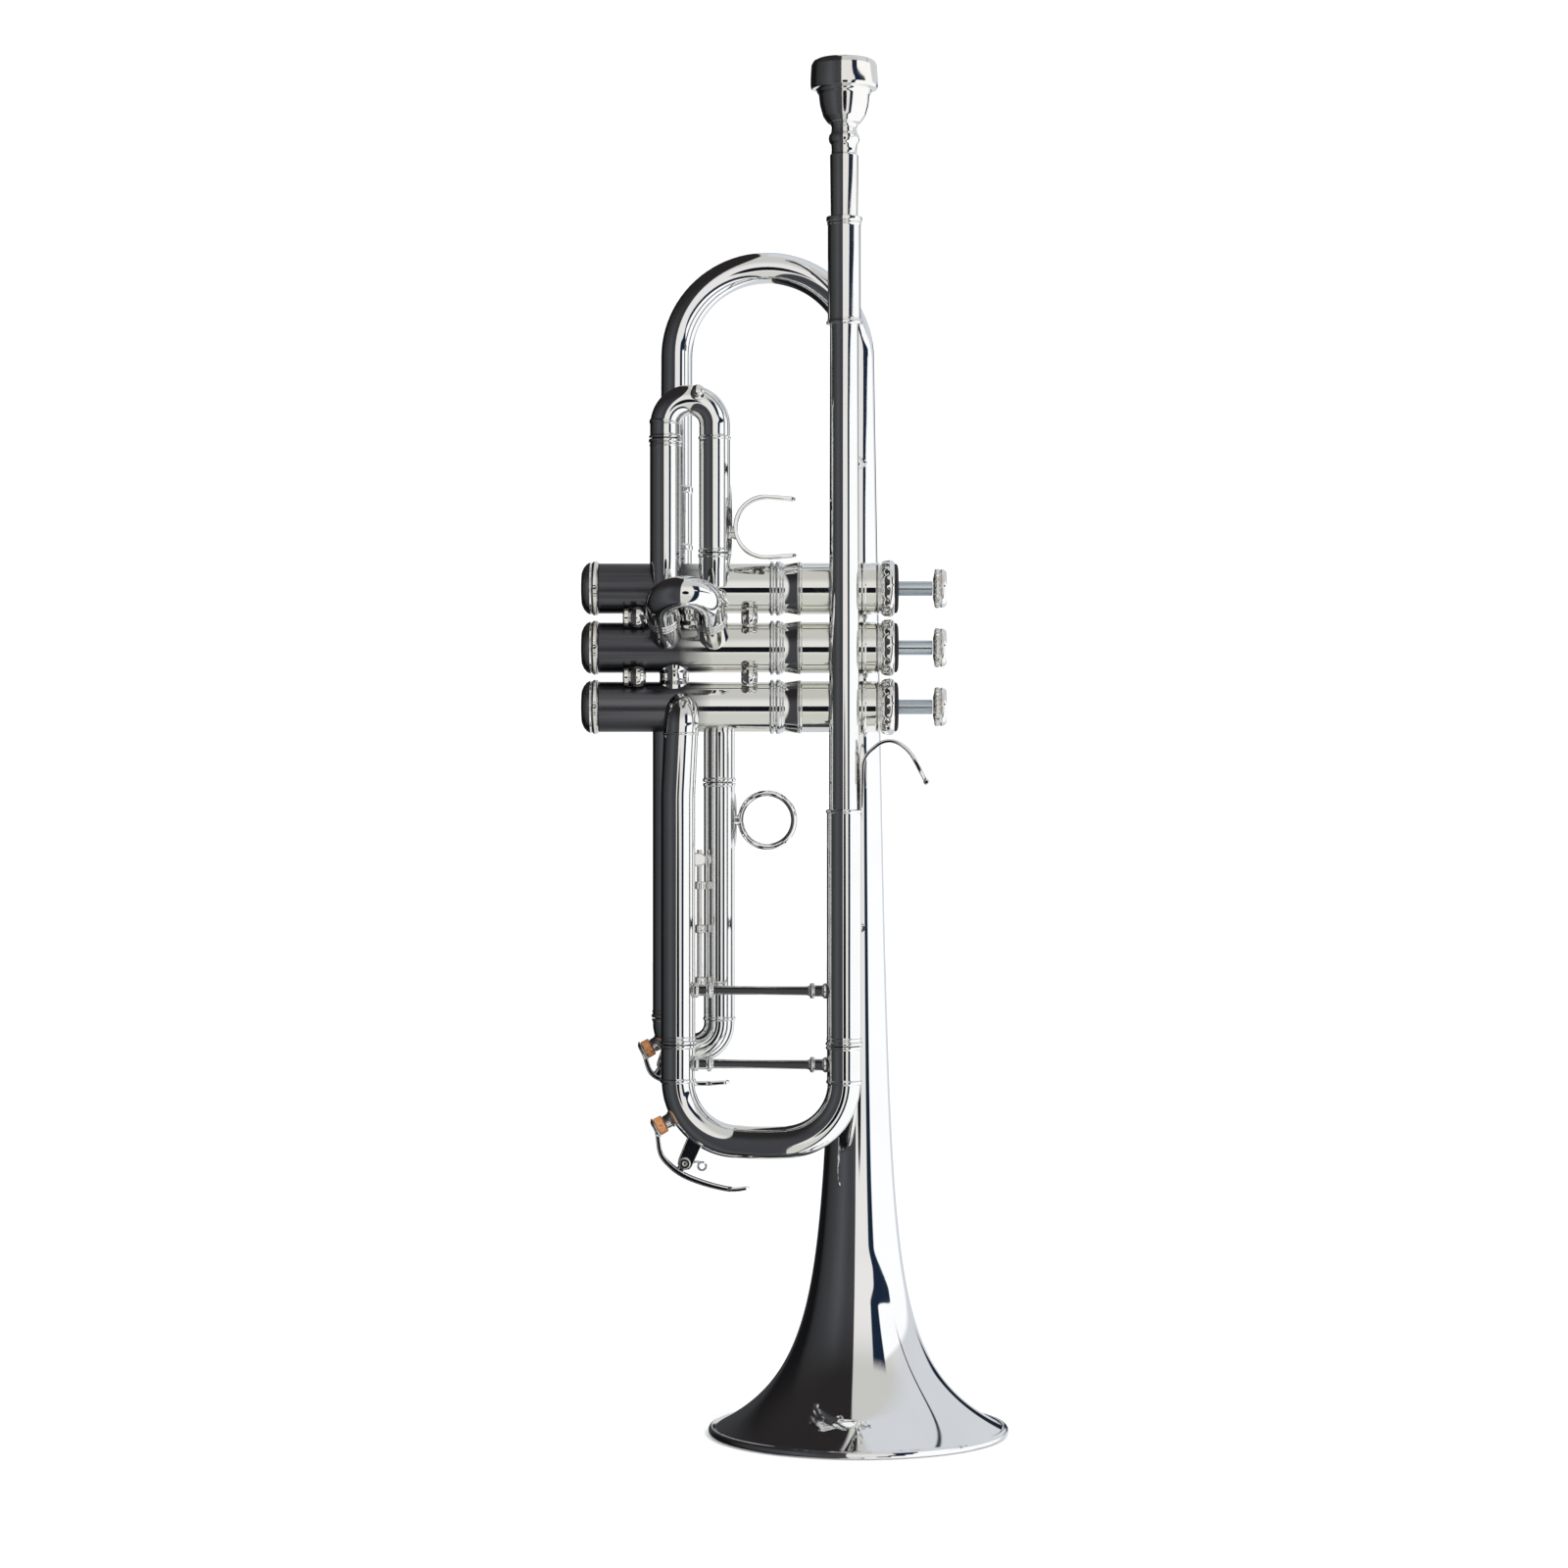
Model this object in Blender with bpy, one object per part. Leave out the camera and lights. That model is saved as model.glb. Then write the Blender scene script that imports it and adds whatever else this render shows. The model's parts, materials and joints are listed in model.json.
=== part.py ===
"""A piston trumpet, standing on its bell rim.

+Z runs from the bell rim up to the mouthpiece, +X is the way the finger buttons point, and the
leadpipe is on the -Y side. All sizes below are in millimetres, and MM turns them into metres.
Places are given from the bell's axis in X, from the plane of the three valve axes in Y and from
the bell rim in Z. The empty "trumpet" carries them into the frame of the part.
"""

import math

import bmesh
import bpy
from mathutils import Matrix, Vector

MM = 0.001
GAP = 0.3                    # clearance between pieces that touch

# Frame: the bell's axis stands BELL_OFF_X to +X of the middle of the part
BELL_OFF_X = 25.2
BELL_Y = 20.0                # the bell's axis, behind the valves
LEAD_X, LEAD_Y = -6.5, -20.0  # the leadpipe's axis, in front of the valves

# Bell
RIM_R = 62.3
RIM_WIRE_R = 1.6
RIM_LIP = 2.7                # height at which the sheet meets the rim wire
BELL_WALL = 0.8
TAIL_R = 6.3
BELL_STRAIGHT = 441.5        # height at which the tail bow begins
BOW_R = 37.3
BELL_TAPER = 7.0
FLARE = 51.5
FLARE_LENGTH = 67.7
FLARE_POWER = 3
BOW_TOP = BELL_STRAIGHT + BOW_R
TAIL_X = -2 * BOW_R

# Valves
VALVE_Z = {1: 346.0, 2: 322.0, 3: 298.0}
CASING_R = 10.2
CASING_BORE = 8.8
PISTON_R = 8.45
CASING_BOTTOM = -105.4
CASING_TOP = 6.4
COLLAR_X = -32.2             # bead round the casing where its two halves meet
THREAD_R = 9.7
BOTTOM_CAP_R = 10.8
BOTTOM_CAP_END = -112.7
TOP_CAP_R = 11.6
TOP_CAP_X = (7.0, 15.3)
STEM_R = 2.85
BUTTON_X = (29.8, 35.4)
BUTTON_R = 8.3
PISTON_X = (-96.0, -30.0)
PISTON_BORE = 6.4            # the hollow foot of the piston
BARREL_TOP = -3.0            # the narrow barrel above the piston holds the spring
BARREL_R = 7.2
SLOT_LENGTH = 18.5           # the barrel's slot for the guide
GUIDE_X = -27.5
LOW_PASSAGES = (-75.5, -62.0)
HIGH_PASSAGE = -47.5
CROSSOVER_X = {(1, 2): -67.9, (2, 3): -75.1}
CROSSOVER_R = 5.9
POST_X = {"low": -90.9, "high": -44.4}
POST_Y = -7.6                # the posts lie in the valley in front of two casings
POST_HALF = 4.7
POST_R = 4.1

# Tubes
SLEEVE_R = 6.35
SLEEVE_BORE = 5.75
LEG_R = 5.45
LEG_BORE = 4.9
CROOK_R = 6.3
TUNING_R = 6.95
TUNING_BORE = 6.4
TUNING_LEG_R = 6.1
TUNING_LEG_BORE = 5.55
TUNING_CROOK_R = 6.6

# Main tuning slide
LOW_X, LOW_Y = -73.3, -12.0
SLEEVE_END = 162.0
TUNING_BOW_Z = 122.2
TUNING_BEND = 24.4
TUNING_FERRULE = 15.1
TUNING_LEG_TOP = 237.0
TUNING_SLEEVE_TOP = 256.5
BRACE_Z = {"tuning_brace_fixed": 183.8, "tuning_brace_moving": 154.2}
KEY_PIVOT = (-70.4, 114.4)
KEY_ARM = ((-80.2, 116.8), (-74.0, 110.1), (-65.3, 105.8), (-54.3, 103.8), (-43.6, 103.4))

# First, second and third slides
FIRST_X = (-78.4, -58.3)
FIRST_Y = -7.5
FIRST_Z = (359.7, 406.0, 412.0, 421.9)
SECOND_X = (-77.4, -58.4)
SECOND_TILT = math.radians(32)
SECOND_LEAN = -0.075
SECOND_S = (22.0, 39.7)     # the sleeves' mouths and the crook's top, from the casing's axis
THIRD_X = (-77.8, -56.6)
THIRD_Y = 8.0
THIRD_Z = (267.5, 171.5, 158.6)
SADDLE_AT = (-38.0, 370.3)
RING_AT = (-37.4, 252.0)
RING_R = 10.9
THIRD_KEY_PIVOT = (-79.6, 152.6)
THIRD_KEY_ARM = ((-84.4, 148.6), (-76.0, 145.2), (-64.0, 144.6), (-52.6, 145.2))
SPOUT_ANGLE = 209            # both spouts leave their bows at this angle, in degrees
ROD_X, ROD_OUT = -65.0, 5.0  # the stop rod, in front of the third slide
ROD_Z = (184.0, 240.0)

# Leadpipe, receiver and mouthpiece
RECEIVER_Z = (450.6, 493.8)
RECEIVER_R = 6.65
LEADPIPE_Z = (244.0, 469.0)
MOUTHPIECE_Z = (470.5, 556.8)

# Bell braces
BELL_BRACE_Z = {"upper": 398.0, "lower": 208.0}

SIDES = 12                   # flats round a slide tube
VALVE_SIDES = 16             # flats round a valve casing and its caps
BELL_SIDES = 24
TURN_STEP = math.radians(30) # bend angle between two rings of a bent tube

SILVER = ((0.86, 0.87, 0.88), 0.12, 1.0)
STEEL = ((0.62, 0.66, 0.70), 0.25, 1.0)
PLATED = ((0.88, 0.88, 0.86), 0.18, 1.0)
CORK = ((0.55, 0.27, 0.13), 0.85, 0.0)
MONEL = ((0.55, 0.54, 0.50), 0.3, 1.0)

BODY_AT = {
    "horn": (0, 0, 0),
    "valve_1": (BUTTON_X[1], 0, VALVE_Z[1]),
    "valve_2": (BUTTON_X[1], 0, VALVE_Z[2]),
    "valve_3": (BUTTON_X[1], 0, VALVE_Z[3]),
    "tuning_slide": (LEAD_X, LEAD_Y, SLEEVE_END),
    "water_key": (KEY_PIVOT[0], LOW_Y, KEY_PIVOT[1]),
    "first_slide": (FIRST_X[0], FIRST_Y, FIRST_Z[1]),
    "second_slide": (SECOND_X[0], 0, VALVE_Z[2]),
    "third_slide": (THIRD_X[0], THIRD_Y, THIRD_Z[1]),
    "third_water_key": (THIRD_KEY_PIVOT[0], THIRD_Y, THIRD_KEY_PIVOT[1]),
    "mouthpiece": (LEAD_X, LEAD_Y, RECEIVER_Z[1]),
}
empties = {}
materials = {}


def clear_scene():
    for obj in list(bpy.data.objects):
        bpy.data.objects.remove(obj)


def make_empties():
    root = bpy.data.objects.new("trumpet", None)
    root.location = Vector((BELL_OFF_X, -BELL_Y, 0)) * MM
    bpy.context.scene.collection.objects.link(root)
    for body, place in BODY_AT.items():
        empty = bpy.data.objects.new("at_" + body, None)
        empty.location = Vector(place) * MM
        empty.parent = root
        bpy.context.scene.collection.objects.link(empty)
        empties[body] = empty


def material(name, look):
    if name not in materials:
        made = bpy.data.materials.new(name)
        made.use_nodes = True
        shader = made.node_tree.nodes["Principled BSDF"]
        colour, roughness, metallic = look
        shader.inputs["Base Color"].default_value = (*colour, 1)
        shader.inputs["Roughness"].default_value = roughness
        shader.inputs["Metallic"].default_value = metallic
        materials[name] = made
    return materials[name]


class Route:
    """A centre line through corner points, with a bend of the given radius at each inner corner."""

    def __init__(self, corners, bends=(), across=None):
        corners = [Vector(c) for c in corners]
        points = [(corners[0], (corners[1] - corners[0]).normalized())]
        for before, corner, after, radius in zip(corners, corners[1:], corners[2:], bends):
            points += self.bend(before, corner, after, radius)
        points.append((corners[-1], (corners[-1] - corners[-2]).normalized()))
        self.stations = [(0.0, *points[0])]
        for point, tangent in points[1:]:
            s, last = self.stations[-1][:2]
            step = (point - last).length
            if step > 1e-4:
                self.stations.append((s + step, point, tangent))
        self.length = self.stations[-1][0]
        self.normals = self.carry(across)

    @staticmethod
    def bend(before, corner, after, radius):
        d0 = (corner - before).normalized()
        d1 = (after - corner).normalized()
        angle = d0.angle(d1)
        reach = radius * math.tan(angle / 2)
        start = corner - d0 * reach
        inward = (d1 - d0 * d0.dot(d1)).normalized()
        centre = start + inward * radius
        steps = max(2, math.ceil(angle / TURN_STEP))
        found = []
        for k in range(steps + 1):
            a = angle * k / steps
            point = centre - inward * radius * math.cos(a) + d0 * radius * math.sin(a)
            found.append((point, d0 * math.cos(a) + inward * math.sin(a)))
        return found

    def carry(self, across):
        """Normals that turn with the line and don't twist round it."""
        tangent = self.stations[0][2]
        guide = Vector(across) if across else Vector((0, 1, 0))
        if abs(guide.normalized().dot(tangent)) > 0.95:
            guide = Vector((1, 0, 0))
        normal = (guide - tangent * guide.dot(tangent)).normalized()
        normals = [normal]
        for _, _, after in self.stations[1:]:
            normal = tangent.rotation_difference(after) @ normal
            normal = (normal - after * normal.dot(after)).normalized()
            normals.append(normal)
            tangent = after
        return normals

    def at(self, s):
        """The point, the normal and the side direction at the distance s along the line."""
        s = min(max(s, 0.0), self.length)
        k = 0
        while k < len(self.stations) - 2 and self.stations[k + 1][0] < s - 1e-6:
            k += 1
        s0, p0, t0 = self.stations[k]
        s1, p1, t1 = self.stations[k + 1]
        part = (s - s0) / (s1 - s0)
        tangent = t0.lerp(t1, part).normalized()
        normal = self.normals[k].lerp(self.normals[k + 1], part)
        normal = (normal - tangent * normal.dot(tangent)).normalized()
        return p0.lerp(p1, part), normal, tangent.cross(normal)

    def between(self, s0, s1):
        """The distances of the bends' stations that lie between two distances, in travel order."""
        low, high = sorted((s0, s1))
        found = [s for s, _, _ in self.stations if low + 0.2 < s < high - 0.2]
        return found if s1 > s0 else found[::-1]


def fill_in(route, outline, closed):
    """The outline with rings added at the bends of the route."""
    full = []
    count = len(outline)
    for k in range(count if closed else count - 1):
        s0, r0 = outline[k]
        s1, r1 = outline[(k + 1) % count]
        full.append((s0, r0))
        for s in route.between(s0, s1):
            part = (s - s0) / (s1 - s0)
            full.append((s, mix(r0, r1, part)))
    if not closed:
        full.append(outline[-1])
    return full


def mix(a, b, part):
    if isinstance(a, tuple):
        return tuple(x + (y - x) * part for x, y in zip(a, b))
    return a + (b - a) * part


def skin(route, outline, sides):
    """A closed mesh: the outline (distance, radius) carried round the route.

    A radius may be a pair, half the width along the normal and half the thickness across it. An
    outline that begins and ends on the line makes a solid, and any other makes a tube's wall.
    """
    closed = outline[0][1] != 0
    rings = []
    mesh = bmesh.new()
    for s, radius in fill_in(route, outline, closed):
        point, normal, side = route.at(s)
        if radius == 0:
            rings.append([mesh.verts.new(point)])
            continue
        wide, thick = radius if isinstance(radius, tuple) else (radius, radius)
        ring = []
        for k in range(sides):
            a = 2 * math.pi * (k + 0.5) / sides
            ring.append(mesh.verts.new(point + normal * wide * math.cos(a) + side * thick * math.sin(a)))
        rings.append(ring)
    pairs = list(zip(rings, rings[1:]))
    if closed:
        pairs.append((rings[-1], rings[0]))
    for one, two in pairs:
        join_rings(mesh, one, two)
    bmesh.ops.recalc_face_normals(mesh, faces=mesh.faces)
    if mesh.calc_volume(signed=True) < 0:
        bmesh.ops.reverse_faces(mesh, faces=mesh.faces)
    return mesh


def join_rings(mesh, one, two):
    count = max(len(one), len(two))
    for k in range(count):
        n = (k + 1) % count
        if len(one) == 1:
            mesh.faces.new((one[0], two[k], two[n]))
        elif len(two) == 1:
            mesh.faces.new((one[k], two[0], one[n]))
        else:
            mesh.faces.new((one[k], two[k], two[n], one[n]))


def block(low, high, bevel=0.0):
    """A box between two corners, with its edges broken."""
    mesh = bmesh.new()
    size = Vector(high) - Vector(low)
    centre = (Vector(high) + Vector(low)) / 2
    bmesh.ops.create_cube(mesh, size=1, matrix=Matrix.Translation(centre) @ Matrix.Diagonal((*size, 1)))
    if bevel:
        bmesh.ops.bevel(mesh, geom=mesh.edges[:], offset=bevel, segments=1, affect="EDGES")
    return mesh


def place(name, mesh, body, look=None, look_name="silver", smooth=True):
    """Makes an object of a mesh in millimetres, with its origin on the body's own place."""
    origin = Vector(BODY_AT[body])
    mesh.transform(Matrix.Scale(MM, 4) @ Matrix.Translation(-origin))
    data = bpy.data.meshes.new(name)
    mesh.to_mesh(data)
    mesh.free()
    obj = bpy.data.objects.new(name, data)
    bpy.context.scene.collection.objects.link(obj)
    obj.parent = empties[body]
    if look:
        data.materials.append(material(look_name, look))
    if smooth:
        data.shade_smooth()
        data.set_sharp_from_angle(angle=math.radians(35))
    return obj


def cutter(name, mesh, body):
    obj = place(name, mesh, body, smooth=False)
    obj.hide_render = True
    obj.display_type = "WIRE"
    return obj


def shape(obj, other, operation="DIFFERENCE"):
    step = obj.modifiers.new(other.name, "BOOLEAN")
    step.operation = operation
    step.object = other
    step.solver = "EXACT"


def wall(start, end, outer, bore):
    """The outline of a plain tube's wall."""
    return [(start, outer), (end, outer), (end, bore), (start, bore)]


def beaded(start, end, outer, bore, bead=0.55, width=1.6):
    """The outline of a sleeve with a bead at its end."""
    return [
        (start, outer), (end - width, outer), (end - width * 0.5, outer + bead), (end, outer),
        (end, bore), (start, bore),
    ]


def along_x(x0, x1, z, y=0.0):
    return Route([(x0, y, z), (x1, y, z)])


def along_z(x, y, z0, z1):
    return Route([(x, y, z0), (x, y, z1)])


# Bell and leadpipe ------------------------------------------------------------------------------

def bell_radius(z):
    """The bell's outer radius at a height above the rim."""
    taper = BELL_TAPER * (1 - z / BELL_STRAIGHT)
    return TAIL_R + taper + FLARE / (1 + z / FLARE_LENGTH) ** FLARE_POWER


def make_bell():
    corners = [
        (0, BELL_Y, 0), (0, BELL_Y, BOW_TOP), (TAIL_X, BELL_Y, BOW_TOP),
        (TAIL_X, 9.5, 385.0), (TAIL_X, 7.5, VALVE_Z[1] + 4.0),
    ]
    route = Route(corners, (BOW_R, BOW_R, 60.0))
    edge = RIM_LIP
    steps = 12
    heights = [edge + (BELL_STRAIGHT - edge) * (k / steps) ** 2.0 for k in range(steps + 1)]
    outer = [(z, bell_radius(z)) for z in heights] + [(route.length, TAIL_R)]
    inner = [(s, r - BELL_WALL) for s, r in outer[:0:-1]]
    lip = (edge - BELL_WALL, outer[0][1] - BELL_WALL / 2)
    bell = place("bell", skin(route, outer + inner + [lip], BELL_SIDES), "horn", SILVER)
    shape(bell, casing_space(1, "bell"))
    reach = RIM_R - RIM_WIRE_R
    ring = [
        (0.0, reach - 0.7), (0.0, reach + 0.7), (1.0, RIM_R - 0.1), (2.4, RIM_R - 0.3), (3.2, reach),
        (2.6, outer[0][1] + GAP), (1.0, outer[0][1] + GAP),
    ]
    wire_route = Route([(0, BELL_Y, 0), (0, BELL_Y, 10)])
    place("bell_rim_wire", skin(wire_route, ring, BELL_SIDES), "horn", SILVER)


def make_leadpipe():
    route = along_z(LEAD_X, LEAD_Y, *LEADPIPE_Z)
    outline = [
        (0, 6.05), (13.0, 6.05), (14.0, 6.2), (route.length, 5.65), (route.length, 4.5), (0, 5.4),
    ]
    place("leadpipe", skin(route, outline, SIDES), "horn", SILVER)
    z0, z1 = RECEIVER_Z
    tall = z1 - z0
    r = RECEIVER_R
    outline = [
        (0, r), (0.5, r + 0.5), (1.6, r + 0.5), (2.1, r), (tall - 2.4, r), (tall - 1.9, r + 0.6),
        (tall - 0.5, r + 0.6), (tall, r), (tall, 5.85), (19.2, 5.15), (18.8, 5.95), (0, 5.95),
    ]
    place("mouthpiece_receiver", skin(along_z(LEAD_X, LEAD_Y, z0, z1), outline, SIDES), "horn", SILVER)


def make_mouthpiece():
    base, top = MOUTHPIECE_Z
    route = along_z(LEAD_X, LEAD_Y, base, top)
    outside = [
        (base, 4.75), (493.8, 5.45), (517.0, 5.65), (519.0, 5.1), (525.0, 6.2), (529.0, 5.1),
        (534.0, 8.6), (543.6, 10.6), (545.2, 13.4), (555.0, 13.1), (top, 11.2),
    ]
    inside = [(top - 0.6, 9.2), (546.0, 7.3), (541.0, 4.6), (538.0, 1.9), (base, 4.1)]
    outline = [(z - base, r) for z, r in outside + inside]
    place("mouthpiece", skin(route, outline, 14), "mouthpiece", SILVER)


# Valves -----------------------------------------------------------------------------------------

def casing_space(number, user):
    """The room that a valve casing takes, to trim a tube that meets it."""
    route = along_x(CASING_BOTTOM - 4, CASING_TOP + 4, VALVE_Z[number])
    outline = [(0, 0), (0, CASING_R + GAP), (route.length, CASING_R + GAP), (route.length, 0)]
    return cutter(f"room_{number}_for_{user}", skin(route, outline, VALVE_SIDES), "horn")


def make_casing(number):
    z = VALVE_Z[number]
    start = CASING_BOTTOM - 5.0
    route = along_x(start, CASING_TOP + 6.0, z)
    outside = [
        (start, THREAD_R), (CASING_BOTTOM, THREAD_R), (CASING_BOTTOM, CASING_R), (COLLAR_X - 1.4, CASING_R),
        (COLLAR_X, 11.0), (COLLAR_X + 1.4, CASING_R), (-25.0, 10.8), (CASING_TOP, 10.4),
        (CASING_TOP, THREAD_R), (CASING_TOP + 6.0, THREAD_R),
    ]
    outline = [(x - start, r) for x, r in outside]
    outline += [(route.length, CASING_BORE), (0, CASING_BORE)]
    place(f"valve_casing_{number}", skin(route, outline, VALVE_SIDES), "horn", SILVER)


def make_caps(number):
    z = VALVE_Z[number]
    inner = THREAD_R + GAP
    end = BOTTOM_CAP_END
    skirt = CASING_BOTTOM - GAP
    route = along_x(end, skirt, z)
    outline = [
        (0, 0), (0, 6.5), (1.2, 9.6), (2.4, BOTTOM_CAP_R), (skirt - end, BOTTOM_CAP_R),
        (skirt - end, inner), (1.9, inner), (1.2, 0),
    ]
    place(f"bottom_cap_{number}", skin(route, outline, VALVE_SIDES), "horn", SILVER)
    x0, x1 = TOP_CAP_X
    tall = x1 - x0
    route = along_x(x0, x1, z)
    outline = [
        (0, 10.6), (2.4, 10.2), (4.0, TOP_CAP_R), (6.6, TOP_CAP_R - 0.3), (7.6, 9.2), (tall, 9.0),
        (tall, STEM_R + 0.5), (tall - 2.4, STEM_R + 0.5), (tall - 2.4, inner), (0, inner),
    ]
    place(f"top_cap_{number}", skin(route, outline, VALVE_SIDES), "horn", SILVER)


def make_valve(number):
    body = f"valve_{number}"
    z = VALVE_Z[number]
    x0, x1 = PISTON_X
    route = along_x(x0, BARREL_TOP, z)
    top = BARREL_TOP - x0
    step = x1 - x0
    outline = [
        (top, 0), (top, BARREL_R), (step, BARREL_R), (step, PISTON_R), (0, PISTON_R), (0, PISTON_BORE),
        (13.0, PISTON_BORE), (13.0, 0),
    ]
    piston = place(f"piston_{number}", skin(route, outline, SIDES), body, MONEL, "nickel_alloy")
    room = [(step - 1.0, 0), (step - 1.0, BARREL_R - 0.8), (top - 1.5, BARREL_R - 0.8), (top - 1.5, 0)]
    shape(piston, cutter(f"spring_room_{number}", skin(route, room, SIDES), body))
    slot = block((x1 - 0.6, -9, z - 1.6), (x1 + SLOT_LENGTH, 9, z + 1.6))
    shape(piston, cutter(f"slot_{number}", slot, body))
    passages = [Route([(x, 0, z - 12), (x, 0, z + 12)]) for x in LOW_PASSAGES]
    passages.append(Route([(HIGH_PASSAGE, -12, z), (HIGH_PASSAGE, 12, z)]))
    for name, passage, r in zip(("low", "mid", "high"), passages, (4.4, 4.4, 4.0)):
        bore = skin(passage, [(0, 0), (0, r), (24, r), (24, 0)], 8)
        shape(piston, cutter(f"passage_{name}_{number}", bore, body))
    stem_route = along_x(BARREL_TOP + GAP, BUTTON_X[0] - GAP, z)
    tall = stem_route.length
    outline = [(0, 0), (0, 4.2), (1.6, 4.2), (1.6, STEM_R), (tall, STEM_R), (tall, 0)]
    place(f"valve_stem_{number}", skin(stem_route, outline, 12), body, STEEL, "steel")
    x0, x1 = BUTTON_X
    tall = x1 - x0
    route = along_x(x0, x1, z)
    outline = [
        (0, 0), (0, 4.0), (1.4, 7.8), (2.4, 6.9), (3.4, BUTTON_R), (tall - 0.4, 7.6), (tall, 6.4), (tall, 0),
    ]
    place(f"finger_button_{number}", skin(route, outline, SIDES), body, PLATED, "plated")


def make_guide_and_spring(number):
    z = VALVE_Z[number]
    arms = place(
        f"valve_guide_{number}", block((GUIDE_X - 1, -8.2, z - 1.1), (GUIDE_X + 1, 8.2, z + 1.1), 0.2),
        "horn", PLATED, "plated", smooth=False,
    )
    disc = skin(along_x(GUIDE_X - 0.8, GUIDE_X + 0.8, z), [(0, 0), (0, 5.6), (1.6, 5.6), (1.6, 0)], 8)
    shape(arms, cutter(f"guide_disc_{number}", disc, "horn"), "UNION")
    place(f"valve_spring_{number}", spring_mesh(GUIDE_X + 1.4, BARREL_TOP - 2.2, z), "horn", STEEL, "steel")


def spring_mesh(x0, x1, z, radius=4.6, wire=0.45, turns=4, steps=8):
    """A round wire wound into a coil along X."""
    line = []
    for k in range(turns * steps + 1):
        a = 2 * math.pi * k / steps
        x = x0 + wire + (x1 - x0 - 2 * wire) * k / (turns * steps)
        line.append((x, radius * math.cos(a), z + radius * math.sin(a)))
    route = Route(line[:2])
    route.stations = [(0.0, Vector(line[0]), (Vector(line[1]) - Vector(line[0])).normalized())]
    for before, point, after in zip(line, line[1:], line[2:] + [line[-1]]):
        s = route.stations[-1][0] + (Vector(point) - Vector(before)).length
        route.stations.append((s, Vector(point), (Vector(after) - Vector(before)).normalized()))
    route.length = route.stations[-1][0]
    route.normals = route.carry(None)
    return skin(route, [(0, 0), (0, wire), (route.length, wire), (route.length, 0)], 5)


def make_block_tubes():
    """Crossover tubes, and turned posts that lie between neighbouring casings."""
    for (upper, lower), x in CROSSOVER_X.items():
        pair = f"{upper}_{lower}"
        route = along_z(x, 0, VALVE_Z[lower], VALVE_Z[upper])
        outline = wall(0, route.length, CROSSOVER_R, CROSSOVER_R - 0.7)
        tube = place(f"crossover_{pair}", skin(route, outline, SIDES), "horn", SILVER)
        for number in (upper, lower):
            shape(tube, casing_space(number, "crossover_" + pair))
        for side, x_post in POST_X.items():
            name = f"casing_post_{pair}_{side}"
            valley = (VALVE_Z[upper] + VALVE_Z[lower]) / 2
            route = along_x(x_post - POST_HALF, x_post + POST_HALF, valley, POST_Y)
            outline = [
                (0, 0), (0, 3.4), (2.6, 3.4), (3.2, POST_R), (6.0, POST_R), (6.6, 3.6), (2 * POST_HALF, 3.6),
                (2 * POST_HALF, 0),
            ]
            post = place(name, skin(route, outline, 10), "horn", SILVER)
            for number in (upper, lower):
                shape(post, casing_space(number, name))


# Main tuning slide ------------------------------------------------------------------------------

def make_tuning_slide():
    route = along_z(LEAD_X, LEAD_Y, TUNING_SLEEVE_TOP, SLEEVE_END)
    outline = [
        (0, TUNING_R - 0.3), (0.5, TUNING_R + 0.35), (1.5, TUNING_R), (route.length - 1.4, TUNING_R),
        (route.length - 1.0, TUNING_R + 0.5), (route.length, TUNING_R + 0.3), (route.length, TUNING_BORE),
        (0, TUNING_BORE),
    ]
    place("tuning_sleeve_upper", skin(route, outline, SIDES), "horn", SILVER)
    top = VALVE_Z[3] - 0.5
    corners = [
        (LOW_X, LOW_Y, SLEEVE_END), (LOW_X, LOW_Y, 262.0), (-71.6, LOW_Y, top), (-71.6, 2.0, top),
    ]
    route = Route(corners, (80.0, 8.5), across=(0, 1, 0))
    outline = [
        (0, TUNING_R + 0.3), (1.0, TUNING_R + 0.5), (1.4, TUNING_R), (route.length, TUNING_R),
        (route.length, TUNING_BORE), (0, TUNING_BORE),
    ]
    sleeve = place("tuning_sleeve_lower", skin(route, outline, SIDES), "horn", SILVER)
    shape(sleeve, casing_space(3, "tuning_sleeve"))
    body = "tuning_slide"
    corners = [
        (LEAD_X, LEAD_Y, TUNING_LEG_TOP), (LEAD_X, LEAD_Y, TUNING_BOW_Z),
        (LOW_X, LOW_Y, TUNING_BOW_Z), (LOW_X, LOW_Y, TUNING_LEG_TOP),
    ]
    route = Route(corners, (TUNING_BEND, TUNING_BEND))
    leg = TUNING_LEG_TOP - SLEEVE_END + GAP
    length = route.length
    half = [
        (0, TUNING_LEG_R), (leg, TUNING_LEG_R), (leg, TUNING_R + 0.3), (leg + 1.4, TUNING_R),
        (leg + TUNING_FERRULE - 0.8, TUNING_R), (leg + TUNING_FERRULE, TUNING_CROOK_R),
    ]
    outline = half + [(length - s, r) for s, r in half[::-1]]
    outline += [(length, TUNING_LEG_BORE), (0, TUNING_LEG_BORE)]
    place("tuning_crook", skin(route, outline, SIDES), body, SILVER)
    for (name, z), owner in zip(BRACE_Z.items(), ("horn", body)):
        a = Vector((LEAD_X, LEAD_Y, z))
        b = Vector((LOW_X, LOW_Y, z))
        inset = (b - a).normalized() * (TUNING_R + GAP)
        route = Route([a + inset, b - inset], across=(0, 0, 1))
        place(name, skin(route, post_outline(route.length, 2.15, 3.3, 6.0), 8), owner, SILVER)


def post_outline(length, rod, foot, tall):
    """A rod with a turned foot at each end."""
    half = [(0, 0), (0, foot), (tall * 0.8, foot), (tall, rod)]
    return half + [(length - s, r) for s, r in half[::-1]]


# Water keys -------------------------------------------------------------------------------------

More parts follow.
